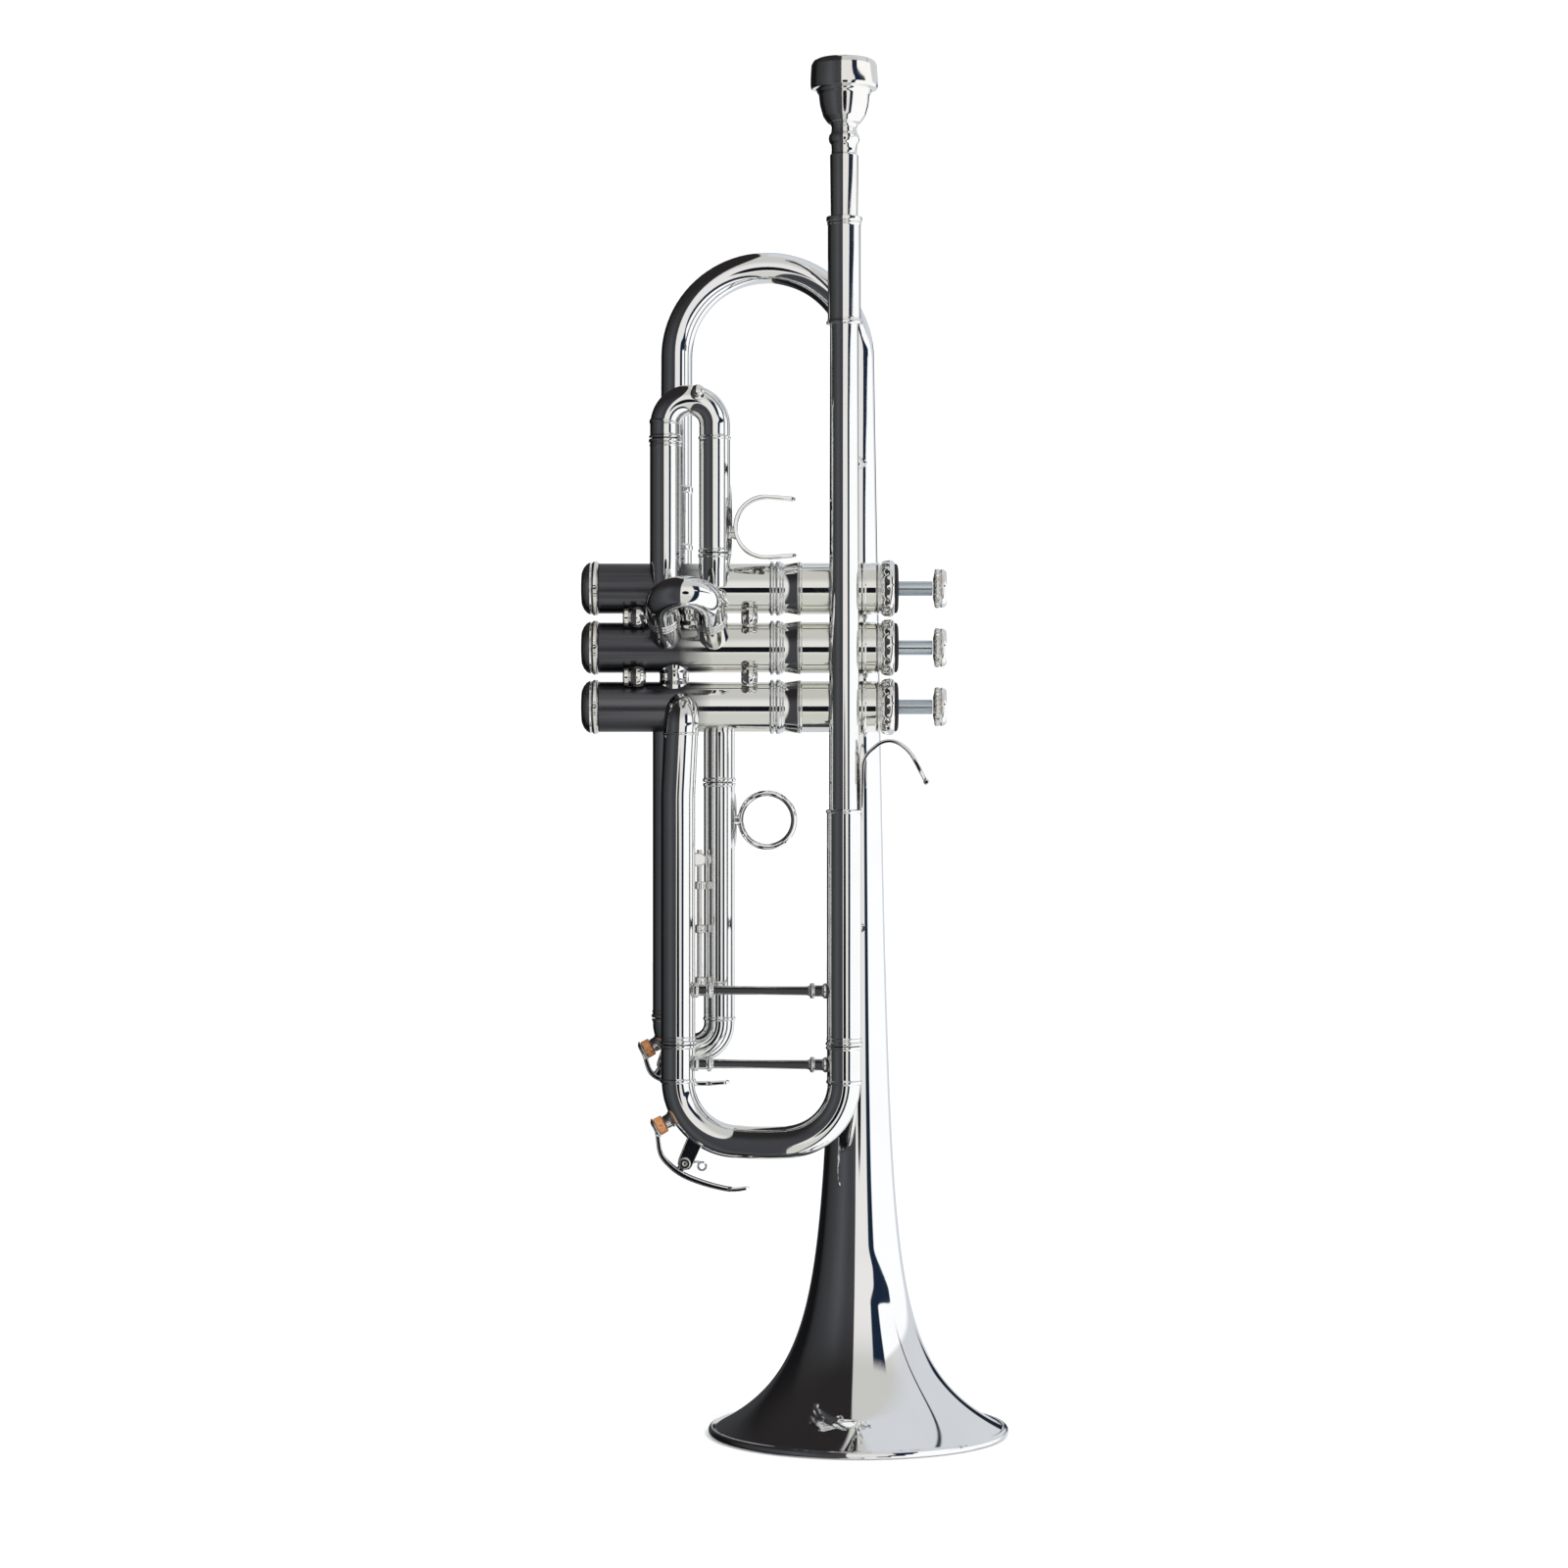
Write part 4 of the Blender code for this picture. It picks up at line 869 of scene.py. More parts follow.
def make_slide_tubes(number, casing_z, way):
    """The two fixed tubes of the first or third slide: a long sleeve, and a stub with an inner tube."""
    word = {1: "first", 3: "third"}[number]
    sleeve, stub = f"{word}_slide_sleeve", f"{word}_slide_inner_tube"
    legs, y = SLIDE_LEGS[number], SLIDE_Y[number]
    flat = -6.0 * (1 if y < 0 else -1)

    def line(x, far):
        return Route([(x, flat, casing_z + way), (x, y, casing_z + way * 9.5), (x, y, far)], (20.0,))

    far = corners(sleeve)[1 if way > 0 else 0].z
    route = line(legs[0], far)
    outline = beaded_end(route.length, SLEEVE_R, SLEEVE_BORE)
    piece(f"{word}_sleeve_tube", skin(route, outline), SILVER, sleeve)
    far = corners(stub)[1 if way > 0 else 0].z
    near = corners(f"{word}_slide_crook")[0 if way > 0 else 1].z
    route = line(legs[1], far)
    foot = route.length - abs(far - near) - 0.3
    outline = [
        (0, SLEEVE_R), (foot - 1.6, SLEEVE_R), (foot - 1.3, SLEEVE_R + 0.4), (foot - 0.3, SLEEVE_R + 0.4),
        (foot, SLEEVE_R), (foot, LEG_R), (route.length, LEG_R), (route.length, LEG_BORE), (0, LEG_BORE),
    ]
    piece(f"{word}_stub_tube", skin(route, outline), SILVER, stub)


def make_slide_crook(number, way):
    word = {1: "first", 3: "third"}[number]
    node = f"{word}_slide_crook"
    low_x, high_x = SLIDE_LEGS[number]
    y = SLIDE_Y[number]
    radius = (high_x - low_x) / 2
    low, high = corners(node)
    near, bow = (low.z, high.z - CROOK_R) if way > 0 else (high.z, low.z + CROOK_R)
    mouth = corners(f"{word}_slide_sleeve")[1 if way > 0 else 0].z + 0.3 * way
    reach = 40 if way > 0 else 55
    far = mouth - way * reach
    route = Route([(high_x, y, near), (high_x, y, bow), (low_x, y, bow), (low_x, y, far)], (radius, radius))
    length = route.length
    leg = length - reach
    ferrule = abs(mouth - near)
    outline = [
        (0, CROOK_R), (0.3, CROOK_R + 0.35), (1.2, CROOK_R + 0.35), (1.5, CROOK_R), (ferrule - 0.6, CROOK_R),
        (ferrule - 0.3, CROOK_R + 0.3), (ferrule + 0.5, CROOK_R + 0.3), (ferrule + 0.8, CROOK_R - 0.1),
        (leg - 7.0, CROOK_R - 0.1), (leg - 6.7, CROOK_R + 0.3), (leg - 5.9, CROOK_R + 0.3),
        (leg - 5.6, CROOK_R), (leg - 1.2, CROOK_R), (leg - 0.9, CROOK_R + 0.4), (leg, CROOK_R + 0.4),
        (leg, LEG_R), (length, LEG_R),
        (length, LEG_BORE), (ferrule, LEG_BORE), (ferrule, SLEEVE_BORE), (0, SLEEVE_BORE),
    ]
    piece(f"{word}_crook_bend", skin(route, outline), SILVER, node)


def make_second_slide():
    z = VALVE_Z[2]
    joint = next(j for j in BEHAVIOUR["joints"] if j["child"] == "second_slide")
    way = Vector(joint["axis"])
    mouth, apex, inner = 22.0, 39.7, 13.5
    low_x, high_x = SECOND_X
    for side, x in (("low", low_x), ("high", high_x)):
        base = Vector((x, 0, z))
        route = Route([base + way * 5, base + way * mouth], across=(1, 0, 0))
        outline = beaded_end(route.length, SLEEVE_R, SLEEVE_BORE)
        piece(f"second_sleeve_{side}", skin(route, outline), SILVER, f"second_slide_sleeve_{side}")
    low, high = Vector((low_x, 0, z)), Vector((high_x, 0, z))
    radius = (high_x - low_x) / 2
    line = [low + way * inner, low + way * apex, high + way * apex, high + way * inner]
    route = Route(line, (radius, radius), across=(1, 0, 0))
    length = route.length
    leg = mouth + 0.3 - inner
    half = [(0, LEG_R), (leg, LEG_R), (leg, CROOK_R + 0.4), (leg + 0.9, CROOK_R + 0.4), (leg + 1.2, CROOK_R)]
    outline = half + [(length - s, r) for s, r in half[::-1]] + [(length, LEG_BORE), (0, LEG_BORE)]
    piece("second_crook_bend", skin(route, outline), SILVER, "second_slide_crook")


def knob(at, out, size):
    """A small turned pull knob."""
    route = Route([at, at + out * 4.2 * size])
    outline = [
        (0, 0), (0, 2.6), (0.5, 2.6), (0.9, 1.3), (1.5, 1.3), (2.0, 2.1), (3.1, 2.2), (3.9, 1.6), (4.2, 0),
    ]
    return skin(route, [(s * size, r * size) for s, r in outline], 40, 0.3)


def make_thumb_saddle():
    x, z = SADDLE_AT
    y = SLIDE_Y[1]
    r = 12.2
    line = [
        (x + 12.0, y, z + r - 0.9), (x + 1.0, y, z + r), (x - r, y, z + r), (x - r, y, z - r),
        (x + 1.0, y, z - r), (x + 12.4, y, z - r + 0.9),
    ]
    route = Route(line, (20.0, r, r, 20.0), across=(0, 1, 0))
    tall = route.length
    outline = [
        (0, 0), (0.1, (2.4, 0.5)), (0.8, (3.8, 0.7)), (2.5, (4.3, 0.8)), (tall - 2.5, (4.3, 0.8)),
        (tall - 0.8, (3.8, 0.7)), (tall - 0.1, (2.4, 0.5)), (tall, 0),
    ]
    piece("saddle_strap", skin(route, outline, 32, 0), SILVER, "thumb_saddle")
    edge = SLIDE_LEGS[1][1] + CROOK_R
    foot = Route([(edge - 0.6, y, z - 2), (x - r + 0.2, y, z - 2)])
    tall = foot.length
    outline = [
        (0, 0), (0, 3.6), (0.8, 3.6), (1.4, 2.7), (tall - 1.5, 2.3), (tall - 0.4, 3.0), (tall, 3.0),
        (tall, 0),
    ]
    piece("saddle_foot", skin(foot, outline, 40, 0.3), SILVER, "thumb_saddle", ())
    centre = Vector((SLIDE_LEGS[1][1], y, z + 2))
    flange = leaf(centre, Vector((1, 0, 0)), Vector((0, 0, 1)), 15, 3.6, CROOK_R)
    piece("saddle_flange", flange, SILVER, "thumb_saddle", ())


def make_finger_ring():
    x, z = RING_AT
    y = SLIDE_Y[3]
    radius, wire = 10.9, 1.25
    axis = Route([(x, y - wire, z), (x, y + wire, z)])
    outline = [(wire + wire * cos(a), radius + wire * sin(a)) for a in (2 * pi * k / 20 for k in range(20))]
    piece("ring_band", skin(axis, outline, 96, 0), SILVER, "finger_ring")
    edge = SLIDE_LEGS[3][1] + CROOK_R
    foot = Route([(edge - 0.4, y, z), (x - radius + 0.4, y, z)])
    tall = foot.length
    stem = skin(foot, [(0, 0), (0, 3.0), (0.6, 2.6), (tall - 0.5, 1.6), (tall, 1.6), (tall, 0)], 32, 0.2)
    piece("ring_foot", stem, SILVER, "finger_ring", ())
    flange = leaf(Vector((SLIDE_LEGS[3][1], y, z)), Vector((1, 0, 0)), Vector((0, 0, 1)), 11, 3.4, CROOK_R)
    piece("ring_flange", flange, SILVER, "finger_ring", ())


def make_stop_rod():
    low, high = corners("third_stop_rod")
    x = ROD_X
    y = SLIDE_Y[3] - 5.0
    route = along_z(x, y, low.z, high.z)
    tall = route.length
    nut = [(0, 1.1), (0.2, 2.3), (0.8, 2.7), (1.6, 2.4), (2.0, 2.4), (2.8, 2.7), (3.4, 2.3), (3.6, 1.1)]
    outline = [(0, 0), (0, 1.0)]
    for start in (0.8, 22.0):
        outline += [(start + s, r) for s, r in nut]
    outline += [(tall, 1.1), (tall, 0)]
    piece("stop_rod_turned", skin(route, outline, 40, 0.2), TURNED, "third_stop_rod")
    edge = SLIDE_LEGS[3][0] + math.sqrt(SLEEVE_R ** 2 - 3.4 ** 2)
    lug = Route([(edge, y, 236), (x + 2.6, y, 236)], across=(0, 0, 1))
    tall = lug.length
    outline = [
        (0, 0), (0, (4.2, 2.2)), (1.0, (3.2, 1.8)), (tall - 1.6, (2.6, 1.7)), (tall - 0.3, (1.8, 1.4)),
        (tall, 0),
    ]
    piece("stop_rod_lug", skin(lug, outline, 32, 0.2), SILVER, "third_stop_rod", ())
    edge = SLIDE_LEGS[3][1] - math.sqrt(CROOK_R ** 2 - 3.4 ** 2)
    z = middle("third_slide_stop_eye").z
    arm = Route([(edge, y, z), (x + 2.2, y, z)], across=(0, 0, 1))
    tall = arm.length
    bracket = skin(arm, [(0, 0), (0, (1.5, 2.0)), (tall, (1.3, 1.5)), (tall + 0.01, 0)], 32, 0.2)
    eye = skin(along_z(x, y, z - 1.5, z + 1.5), [(0, 1.5), (0, 2.8), (3.0, 2.8), (3.0, 1.5)], 40, 0.3)
    piece("stop_eye_arm", bracket, SILVER, "third_slide_stop_eye", ())
    piece("stop_eye_ring", eye, SILVER, "third_slide_stop_eye")


# Water keys -------------------------------------------------------------------------------------

def make_water_key(body, centre, bow_outer, angle, lever_points, saddle_angle):
    """A sprung lever that presses a cork on a spout, on its saddle."""
    node = body + "_lever"
    parent_node = {"water_key": "tuning_crook", "third_water_key": "third_slide_crook"}[body]
    y = centre.y

    def ray(degrees, reach):
        a = radians(degrees)
        return centre + Vector((cos(a), 0, sin(a))) * reach

    spout = ray(angle, bow_outer)
    out = (spout - centre).normalized()
    route = Route([spout - out * 1.2, spout + out * 3.0])
    outline = [(0, 0), (0, 3.9), (1.4, 3.4), (2.0, 2.9), (4.0, 2.8), (4.2, 2.5), (4.2, 0)]
    piece(f"{body}_spout", skin(route, outline, 40, 0.2), SILVER, parent_node, ())
    route = Route([spout + out * 3.2, spout + out * 6.6])
    disc = skin(route, [(0, 0), (0, 3.3), (0.3, 3.6), (3.1, 3.7), (3.4, 3.5), (3.4, 0)], 48, 0.25)
    piece(f"{body}_cork_disc", disc, CORK, body + "_cork")
    first = spout + out * 7.6
    along = Vector((0, -1, 0)).cross(out)
    route = Route([spout + out * 6.7, spout + out * 7.9])
    cup = skin(route, [(0, 0), (0, 4.1), (0.5, 4.2), (1.0, 3.8), (1.2, 0)], 40, 0.3)
    piece(f"{body}_cork_cup", cup, SILVER, node, ())
    points = [first - along * 3.4, first + along * 1.5] + [Vector((x, y, z)) for x, z in lever_points]
    route = flowing(points, across=(0, 1, 0))
    length = route.length
    outline = [
        (0, 0), (0.1, (1.6, 0.4)), (1.0, (2.9, 0.6)), (1.6, (3.3, 0.7)), (4.6, (3.3, 0.75)),
        (6.4, (2.2, 0.85)), (length * 0.45, (2.2, 1.1)), (length * 0.62, (2.2, 1.05)),
        (length - 9.0, (2.2, 0.9)),
        (length - 7.8, (2.9, 0.8)), (length - 1.6, (2.9, 0.7)), (length - 0.4, (2.0, 0.5)), (length, 0),
    ]
    piece(f"{body}_arm", skin(route, outline, 32, 0), SILVER, node)
    pivot = PIVOT[body]
    half = Vector((0, 2.7, 0))
    outline = [
        (0, 0), (0, 1.9), (0.4, 2.2), (1.4, 2.2), (1.6, 1.9), (3.8, 1.9), (4.0, 2.2), (5.0, 2.2),
        (5.4, 1.9), (5.4, 0),
    ]
    barrel = skin(Route([pivot - half, pivot + half]), outline, 40, 0.2)
    piece(f"{body}_barrel", barrel, TURNED, node, ())
    seat = nearest_on(route, pivot)
    web = Route([pivot, seat], across=(0, 1, 0))
    tall = web.length
    rib = skin(web, [(0, 0), (0, (1.7, 1.2)), (tall, (1.7, 1.9)), (tall + 0.01, 0)], 24, 0.05)
    piece(f"{body}_rib", rib, SILVER, node, ())
    make_saddle(body, parent_node, pivot, ray(saddle_angle, bow_outer), centre)


def nearest_on(route, point):
    return min((place for _, place, _ in route.stations), key=lambda place: (place - point).length)


def make_saddle(body, node, pivot, foot, centre):
    """Two cheeks that hold the key's hinge screw, the screw, and the wire spring round it."""
    up = (pivot - foot).normalized()
    into = (foot - centre).normalized()
    for side, offset in (("near", -3.6), ("far", 3.6)):
        shift = Vector((0, offset, 0))
        cheek = Route([foot - into * 1.8 + shift, pivot + up * 2.4 + shift], across=up.cross((0, 1, 0)))
        tall = cheek.length
        outline = [
            (0, 0), (0, (3.3, 0.7)), (tall - 2.4, (3.1, 0.7)), (tall - 1.0, (2.7, 0.7)),
            (tall - 0.3, (2.0, 0.65)), (tall, (1.0, 0.5)), (tall + 0.01, 0),
        ]
        piece(f"{body}_saddle_{side}", skin(cheek, outline, 28, 0.1), SILVER, node, ())
    screw = Route([pivot + Vector((0, 4.6, 0)), pivot + Vector((0, -6.2, 0))])
    outline = [
        (0, 0), (0, 1.3), (0.4, 1.6), (8.6, 1.6), (8.6, 1.1), (8.9, 1.1), (8.9, 2.1), (9.2, 2.35),
        (10.2, 2.35), (10.6, 2.0), (10.6, 0.9), (10.1, 0.7), (10.1, 0),
    ]
    piece(f"{body}_hinge_screw", skin(screw, outline, 96, 0.1, (16, 0.15, 9.1, 10.3)), TURNED, node, ())
    for side, y0 in (("near", -2.6), ("far", 1.4)):
        line = []
        for k in range(61):
            a = 2 * pi * k / 24
            at = pivot + Vector((2.55 * cos(a), y0 + 1.2 * k / 60, 2.55 * sin(a)))
            line.append((at, Vector((-sin(a), 0.03, cos(a)))))
        wire = Route([(0, 0, 0), (1, 0, 0)])
        wire.follow(line, None)
        loops = skin(wire, [(0, 0), (0, 0.32), (wire.length, 0.32), (wire.length, 0)], 10, 0.05)
        piece(f"{body}_spring_{side}", loops, STEEL, node, ())
    sideways = up.cross((0, 1, 0))
    sideways *= 1 if sideways.x > 0 else -1
    eye = pivot + sideways * 6.9 + up * -1.4 + Vector((0, -3.4, 0))
    line = [pivot + sideways * 2.5 + Vector((0, -2.4, 0))]
    line.append((pivot + eye) / 2 + Vector((0, -2.2, 0)) - up * 1.2)
    for k in range(12):
        a = 2 * pi * k / 12 - pi / 2
        line.append(eye + (sideways * -cos(a) + up * sin(a)) * 1.6)
    wire = flowing(line)
    loop = skin(wire, [(0, 0), (0, 0.45), (wire.length, 0.45), (wire.length, 0)], 12, 0.05)
    piece(f"{body}_spring_leg", loop, STEEL, node, ())


# Hook and bell braces -------------------------------------------------------------------------

def make_pinky_hook():
    edge = LEAD_X + 7.3
    points = [(edge - 0.3, 252.0), (edge + 0.2, 277.5), (11.6, 286.2), (20.0, 279.5), (26.3, 267.6)]
    route = Route([(x, LEAD_Y, z) for x, z in points], (9.0, 8.0, 14.0), across=(0, 1, 0))
    tall = route.length
    outline = [
        (0, 0), (0.3, (1.2, 0.3)), (4.0, (2.6, 0.35)), (14.0, (3.3, 0.45)), (tall * 0.5, (3.2, 0.75)),
        (tall - 9.0, (3.5, 0.85)), (tall - 1.5, (3.4, 0.85)), (tall - 0.2, (2.6, 0.8)), (tall, 0),
    ]
    piece("hook_strap", skin(route, outline, 32, 0), SILVER, "pinky_hook")
    tip = Vector((26.3, LEAD_Y, 267.6))
    roll = Route([tip + Vector((0, -3.2, 0)), tip + Vector((0, 3.2, 0))])
    outline = [(0, 0), (0, 1.0), (0.8, 1.25), (5.6, 1.25), (6.4, 1.0), (6.4, 0)]
    piece("hook_tip", skin(roll, outline, 32, 0.3), SILVER, "pinky_hook", ())
    flange = leaf(Vector((LEAD_X, LEAD_Y, 264)), Vector((1, 0, 0)), Vector((0, 0, 1)), 14, 2.0, 6.1, 0.45)
    piece("hook_flange", flange, SILVER, "pinky_hook", ())


def make_bell_braces():
    for side, radius in (("upper", 5.9), ("lower", TUNING_R)):
        node = f"bell_brace_{side}"
        z = middle(node).z
        a = Vector((LEAD_X, LEAD_Y, z))
        b = Vector((0, BELL_Y, z))
        way = (b - a).normalized()
        route = Route([a + way * radius, b - way * bell_radius(z)], across=(0, 0, 1))
        piece(f"{side}_bell_brace", skin(route, brace_outline(route.length, 1.7), 48, 0.2), SILVER, node)
        for name, centre, out, tube in (("lead", a, way, radius), ("bell", b, -way, bell_radius(z))):
            flange = leaf(centre, out, Vector((0, 0, 1)), 3.0, 4.6, tube)
            piece(f"{side}_brace_flange_{name}", flange, SILVER, node, ())


# Places that several pieces share -------------------------------------------------------------

def leg_places(node, radius):
    """The X of the two legs of a U-shaped slide."""
    low, high = corners(node)
    return low.x + radius, high.x - radius


FLAT = cos(pi / 12)          # the CAD tubes have twelve sides, and the box meets the flats
LOW_X = corners("tuning_sleeve_lower")[0].x + (TUNING_R + 0.5) * FLAT
LOW_Y = corners("tuning_crook")[1].y - (TUNING_R + 0.3) * FLAT
TUNING_BEND = 24.4
BOW_LIFT = 2.4               # how far the crook's bottom rises from its middle to its corners
BOW_SWEEP = 150              # radius of the crook's bottom
SLIDE_LEGS = {
    1: leg_places("first_slide_crook", (CROOK_R + 0.4) * FLAT),
    3: leg_places("third_slide_crook", (CROOK_R + 0.4) * FLAT),
}
SLIDE_Y = {1: middle("first_slide_crook").y, 3: middle("third_slide_crook").y}
SECOND_X = (-77.4, -58.4)
SADDLE_AT = (-38.0, 370.3)
RING_AT = (-37.4, 252.0)
ROD_X = -65.0
PIVOT = {
    j["child"]: Vector(j["pos_m"]) / MM - HOME for j in BEHAVIOUR["joints"] if j["type"] == "hinge"
}


def make_trumpet():
    make_bell()
    make_leadpipe()
    make_mouthpiece()
    for number in NUMBERS:
        make_casing(number)
        make_caps(number)
        make_valve(number)
    make_springs()
    make_block_tubes()
    make_tuning_sleeves()
    make_tuning_crook()
    make_tuning_braces()
    for number, way in ((1, 1), (3, -1)):
        make_slide_tubes(number, VALVE_Z[number], way)
        make_slide_crook(number, way)
    make_second_slide()
    make_thumb_saddle()
    make_finger_ring()
    make_stop_rod()
    make_keys()
    make_pinky_hook()
    make_bell_braces()
    knob_at = Vector((-65.3, SLIDE_Y[1] - 5.6, corners("first_slide_crook")[1].z - 4.3))
    out = Vector((0.05, -0.94, 0.34)).normalized()
    piece("first_slide_knob", knob(knob_at, out, 1.15), TURNED, "first_slide_crook", ())
    for node, finish in CAD_FINISHES.items():
        kept = frame["nodes"][node]
        kept.data.materials.clear()
        kept.data.materials.append(finish)


def make_keys():
    bow = corners("tuning_crook")[0].z + TUNING_CROOK_R
    centre = Vector((LOW_X + TUNING_BEND, LOW_Y, bow + TUNING_BEND))
    points = [
        (-80.2, 118.0), (-76.0, 112.8), (-70.8, 109.2), (-64.5, 106.6), (-57.3, 104.5), (-51.0, 103.5),
        (-44.3, 104.3),
    ]
    make_water_key("water_key", centre, 30.8, 209, points, 233)
    low_x, high_x = SLIDE_LEGS[3]
    bend = (high_x - low_x) / 2
    bow = corners("third_slide_crook")[0].z + CROOK_R
    centre = Vector((low_x + bend, SLIDE_Y[3], bow + bend))
    points = [(-84.4, 148.6), (-76.0, 145.2), (-64.0, 144.6), (-52.6, 145.2)]
    make_water_key("third_water_key", centre, 16.3, 209, points, 228)


CAD_FINISHES = {f"piston_{n}": NICKEL for n in NUMBERS}
CAD_FINISHES |= {f"valve_guide_{n}": NICKEL for n in NUMBERS}
make_trumpet()


# Studio -----------------------------------------------------------------------------------------

def make_surroundings():
    """What the silver mirrors: a dark room on the left and light panels in front and on the right."""
    world = bpy.data.worlds.new("studio")
    bpy.context.scene.world = world
    world.use_nodes = True
    tree = world.node_tree
    tree.nodes.clear()
    way = add(tree, "TexCoord").outputs["Generated"]
    x, y, z = add(tree, "SeparateXYZ", i0=way).outputs
    ahead = maths(tree, "MULTIPLY", y, -1.0)
    turn = maths(tree, "MULTIPLY", maths(tree, "ARCTAN2", x, ahead), 180 / pi)
    rise = maths(tree, "MULTIPLY", maths(tree, "ARCSINE", z), 180 / pi)
    climb = maths(tree, "MAXIMUM", rise, 0.0)

    dark = tree.nodes.new("ShaderNodeValToRGB")
    tree.links.new(spread(tree, turn, -180, 180, 0, 1), dark.inputs[0])
    fill_ramp(dark.color_ramp, DARK_ROOM)
    gloom = blend_colours(tree, step(tree, rise, 30, 22), dark.outputs[0], (0.022, 0.020, 0.021, 1))

    front = blend_colours(tree, step(tree, rise, 32, 14), (0.84, 0.83, 0.82, 1), (0.60, 0.60, 0.58, 1))
    front = blend_colours(tree, step(tree, rise, -28, -10), front, (0.66, 0.67, 0.63, 1))
    swell = maths(tree, "MULTIPLY", step(tree, rise, 7.4, 1.8), step(tree, rise, 13.5, -2.5))
    slot_at = add(tree, "Math", {"operation": "MULTIPLY_ADD"}, i0=rise, i1=0.15, i2=33.0).outputs[0]
    slot_at = add(tree, "Math", {"operation": "MULTIPLY_ADD"}, i0=swell, i1=22.0, i2=slot_at).outputs[0]
    slot_half = add(tree, "Math", {"operation": "MULTIPLY_ADD"}, i0=climb, i1=0.12, i2=7.0).outputs[0]
    slot_half = add(tree, "Math", {"operation": "MULTIPLY_ADD"}, i0=swell, i1=12.0, i2=slot_half).outputs[0]
    beyond = maths(tree, "SUBTRACT", turn, slot_at)
    slot = step(tree, maths(tree, "SUBTRACT", slot_half, maths(tree, "ABSOLUTE", beyond)), 0, 1.2)
    slot = maths(tree, "MULTIPLY", slot, step(tree, rise, 42, -5))
    panel_end = add(tree, "Math", {"operation": "MULTIPLY_ADD"}, i0=climb, i1=-2.4, i2=138.0).outputs[0]
    short_of_end = step(tree, maths(tree, "SUBTRACT", panel_end, turn), 0, 4)
    panel = maths(tree, "MULTIPLY", step(tree, beyond, 0, 3), short_of_end)
    panel = maths(tree, "MULTIPLY", panel, step(tree, rise, 44, -4))
    side = step(tree, turn, 75, 25)
    right = blend_colours(tree, side, front, (0.66, 0.69, 0.73, 1))
    right = blend_colours(tree, panel, right, (1.05, 1.06, 1.08, 1))
    right = blend_colours(tree, slot, right, (0.010, 0.020, 0.042, 1))
    rear = maths(tree, "MULTIPLY", step(tree, rise, 1.8, 1.2), step(tree, rise, 10.5, -0.8))
    rear = maths(tree, "MULTIPLY", rear, step(tree, turn, 146, 4))
    right = blend_colours(tree, rear, right, (0.012, 0.018, 0.030, 1))
    off_seam = add(tree, "VectorMath", {"operation": "DOT_PRODUCT"}, i0=way, i1=SEAM_SIDE).outputs["Value"]
    seam = step(tree, maths(tree, "SUBTRACT", 0.016, maths(tree, "ABSOLUTE", off_seam)), 0, 0.008)
    seam = maths(tree, "MULTIPLY", seam, step(tree, turn, 84, 4))
    right = blend_colours(tree, seam, right, (0.03, 0.04, 0.06, 1))

    facing = maths(tree, "MAXIMUM", ahead, 0.0)
    edge = add(tree, "Math", {"operation": "MULTIPLY_ADD"}, i0=facing, i1=0.12, i2=x).outputs[0]
    lit = step(tree, edge, -0.06, 0.012)
    both = blend_colours(tree, lit, gloom, right)
    wide = maths(tree, "DIVIDE", maths(tree, "SUBTRACT", turn, 2.0), 9.0)
    tall = maths(tree, "DIVIDE", maths(tree, "ADD", rise, 10.5), 12.0)
    away = maths(tree, "ADD", maths(tree, "POWER", wide, 2.0), maths(tree, "POWER", tall, 4.0))
    viewer = step(tree, away, 1.0, -0.15)
    both = blend_colours(tree, viewer, both, (0.006, 0.007, 0.010, 1))

    panels = add(tree, "Background", Color=both, Strength=1.0)
    plain = add(tree, "Background", Color=(1.0, 1.0, 1.0, 1), Strength=1.12)
    path = add(tree, "LightPath")
    mirrored = path.outputs["Is Glossy Ray"]
    mixed = add(tree, "MixShader", i0=mirrored, i1=plain.outputs[0], i2=panels.outputs[0])
    add(tree, "OutputWorld", Surface=mixed.outputs[0])


def step(tree, value, at, soft):
    """0 below a value and 1 above it, softly, or the other way round where soft is negative."""
    node = add(tree, "MapRange", {"interpolation_type": "SMOOTHSTEP"})
    low, high = (0, 1) if soft > 0 else (1, 0)
    reach = abs(soft)
    for socket, number in zip(node.inputs, (value, at - reach, at + reach, low, high)):
        if isinstance(number, bpy.types.NodeSocket):
            tree.links.new(number, socket)
        else:
            socket.default_value = number
    return node.outputs[0]


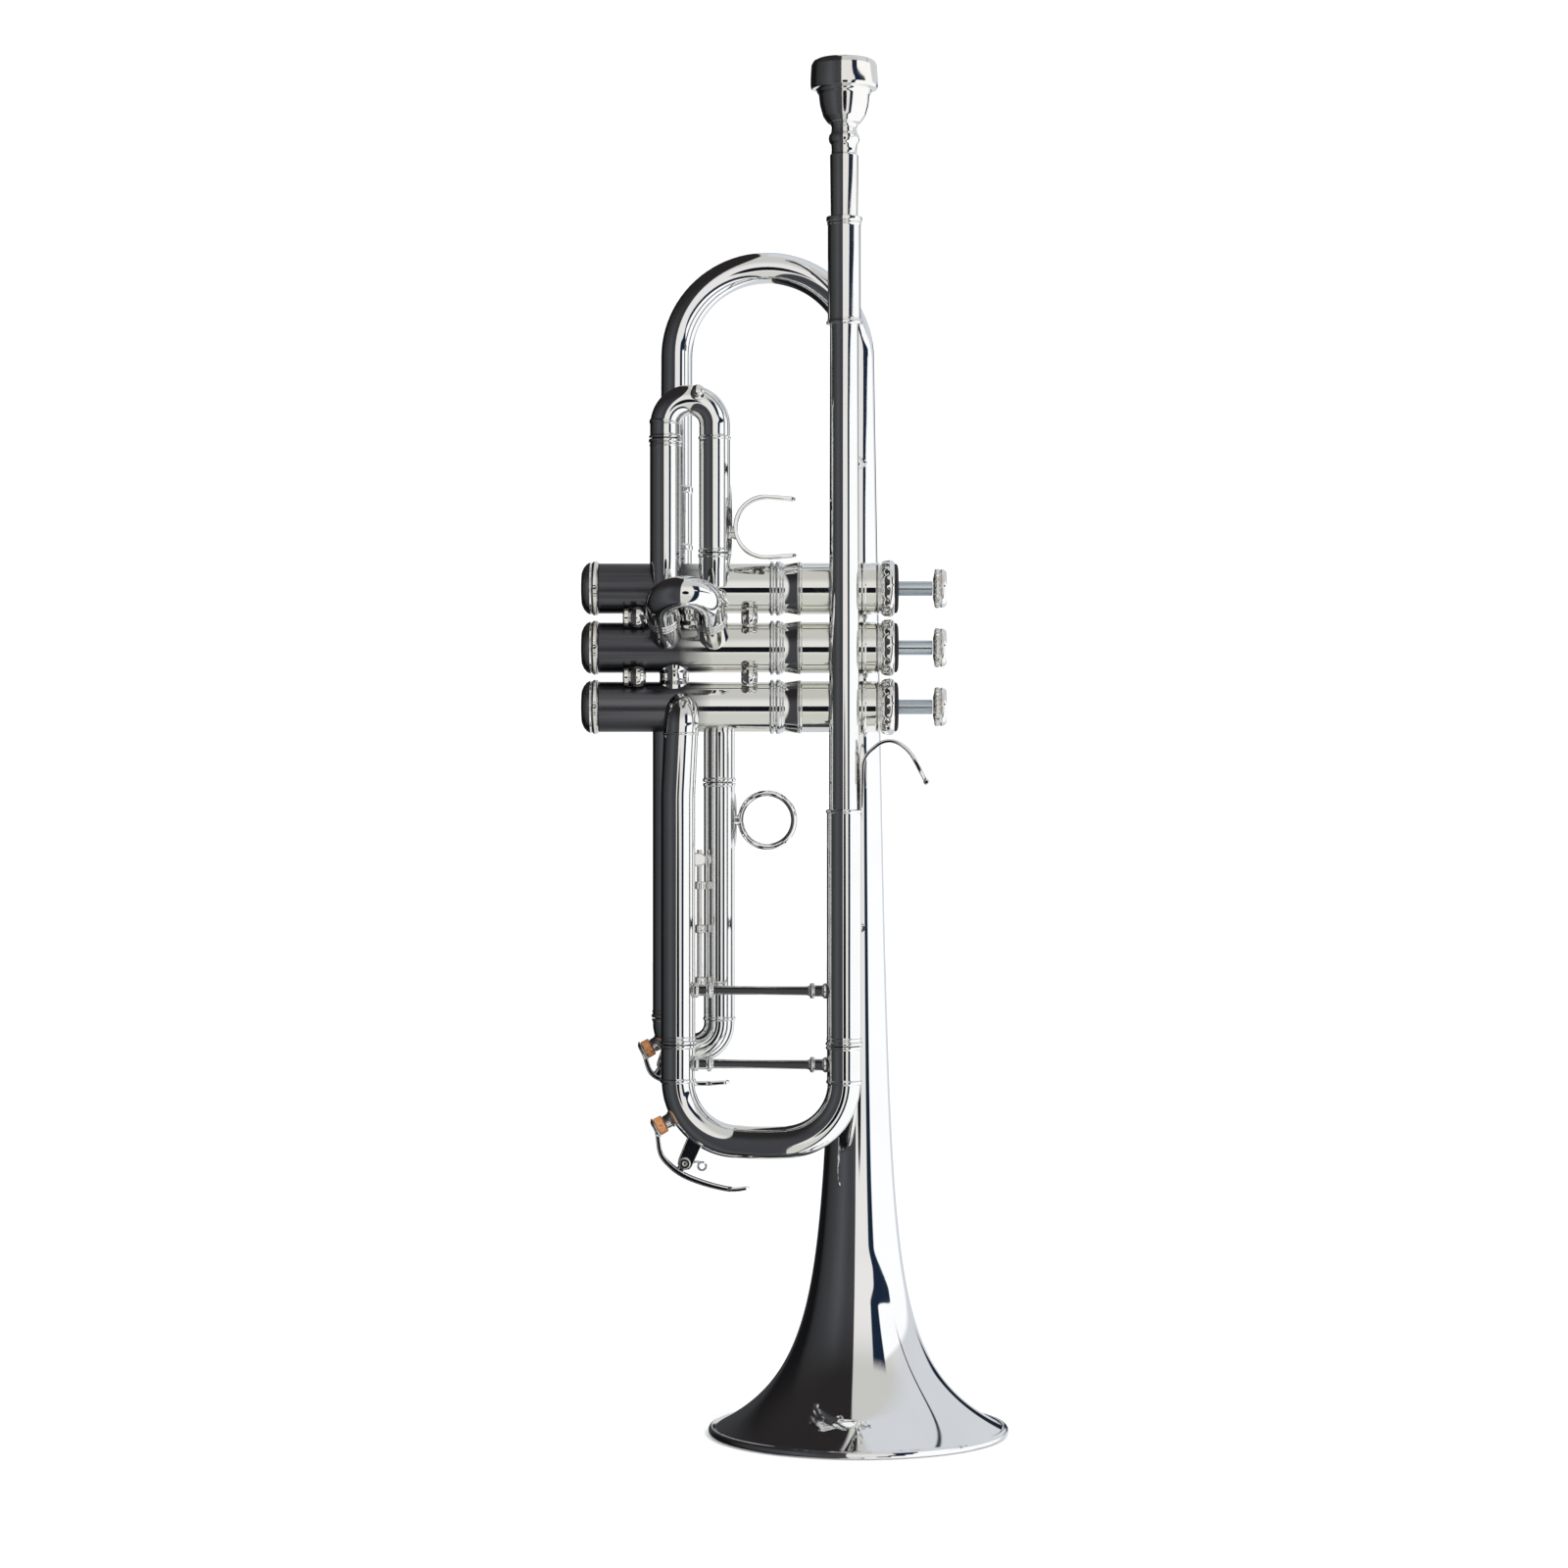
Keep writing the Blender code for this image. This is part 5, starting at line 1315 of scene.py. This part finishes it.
SEAM_SIDE = (-0.292, -0.714, 0.637)     # square to the dark seam that crosses the front panels
DARK_ROOM = (
    (-180, (0.05, 0.052, 0.055)), (-160, (0.04, 0.041, 0.045)), (-150, (0.008, 0.008, 0.009)),
    (-120, (0.006, 0.006, 0.007)), (-106, (0.030, 0.031, 0.032)), (-75, (0.050, 0.052, 0.056)),
    (-50, (0.078, 0.084, 0.092)), (-28, (0.052, 0.053, 0.060)), (-8, (0.058, 0.059, 0.068)),
)


def fill_ramp(ramp, stops):
    """Colours by the direction's angle, from -180 to 180 degrees, 0 towards the viewer."""
    while len(ramp.elements) > 1:
        ramp.elements.remove(ramp.elements[-1])
    for k, (angle, colour) in enumerate(stops):
        position = (angle + 180) / 360
        element = ramp.elements[0] if k == 0 else ramp.elements.new(position)
        element.position = position
        element.color = (*colour, 1)


def make_floor():
    mesh = bmesh.new()
    bmesh.ops.create_grid(mesh, x_segments=1, y_segments=1, size=4.0)
    data = bpy.data.meshes.new("floor")
    mesh.to_mesh(data)
    mesh.free()
    floor = bpy.data.objects.new("floor", data)
    bpy.context.scene.collection.objects.link(floor)
    floor.location.z = -0.0002
    made, tree, shader = new_material("pale_floor", 0.0)
    speck = noise(tree, add(tree, "TexCoord").outputs["Object"], 300, 3)
    tint = blend_colours(tree, speck, (0.93, 0.93, 0.93, 1), (0.96, 0.96, 0.96, 1))
    tree.links.new(tint, shader.inputs["Base Color"])
    shader.inputs["Roughness"].default_value = 0.9
    data.materials.append(made)
    floor.visible_glossy = False


def make_light(name, place, aim, size, power):
    lamp = bpy.data.lights.new(name, "AREA")
    lamp.size = size
    lamp.energy = power
    made = bpy.data.objects.new(name, lamp)
    bpy.context.scene.collection.objects.link(made)
    made.location = place
    made.rotation_euler = (Vector(aim) - Vector(place)).to_track_quat("-Z", "Y").to_euler()
    made.visible_glossy = False


EYE = (-0.0054, -1.52, 0.2667)
SENSOR, LENS = 36.0, 84.87


def make_camera():
    """Level with the middle of the instrument, on the leadpipe side."""
    lens = bpy.data.cameras.new("viewer")
    lens.sensor_width = SENSOR
    lens.lens = LENS
    made = bpy.data.objects.new("viewer", lens)
    bpy.context.scene.collection.objects.link(made)
    made.location = EYE
    made.rotation_euler = (radians(90), 0, 0)
    bpy.context.scene.camera = made


make_surroundings()
make_floor()
make_light("soft_key", (0.9, -0.9, 1.3), (0, 0, 0.2), 1.2, 14)
make_camera()
bpy.context.scene.view_settings.view_transform = "Standard"
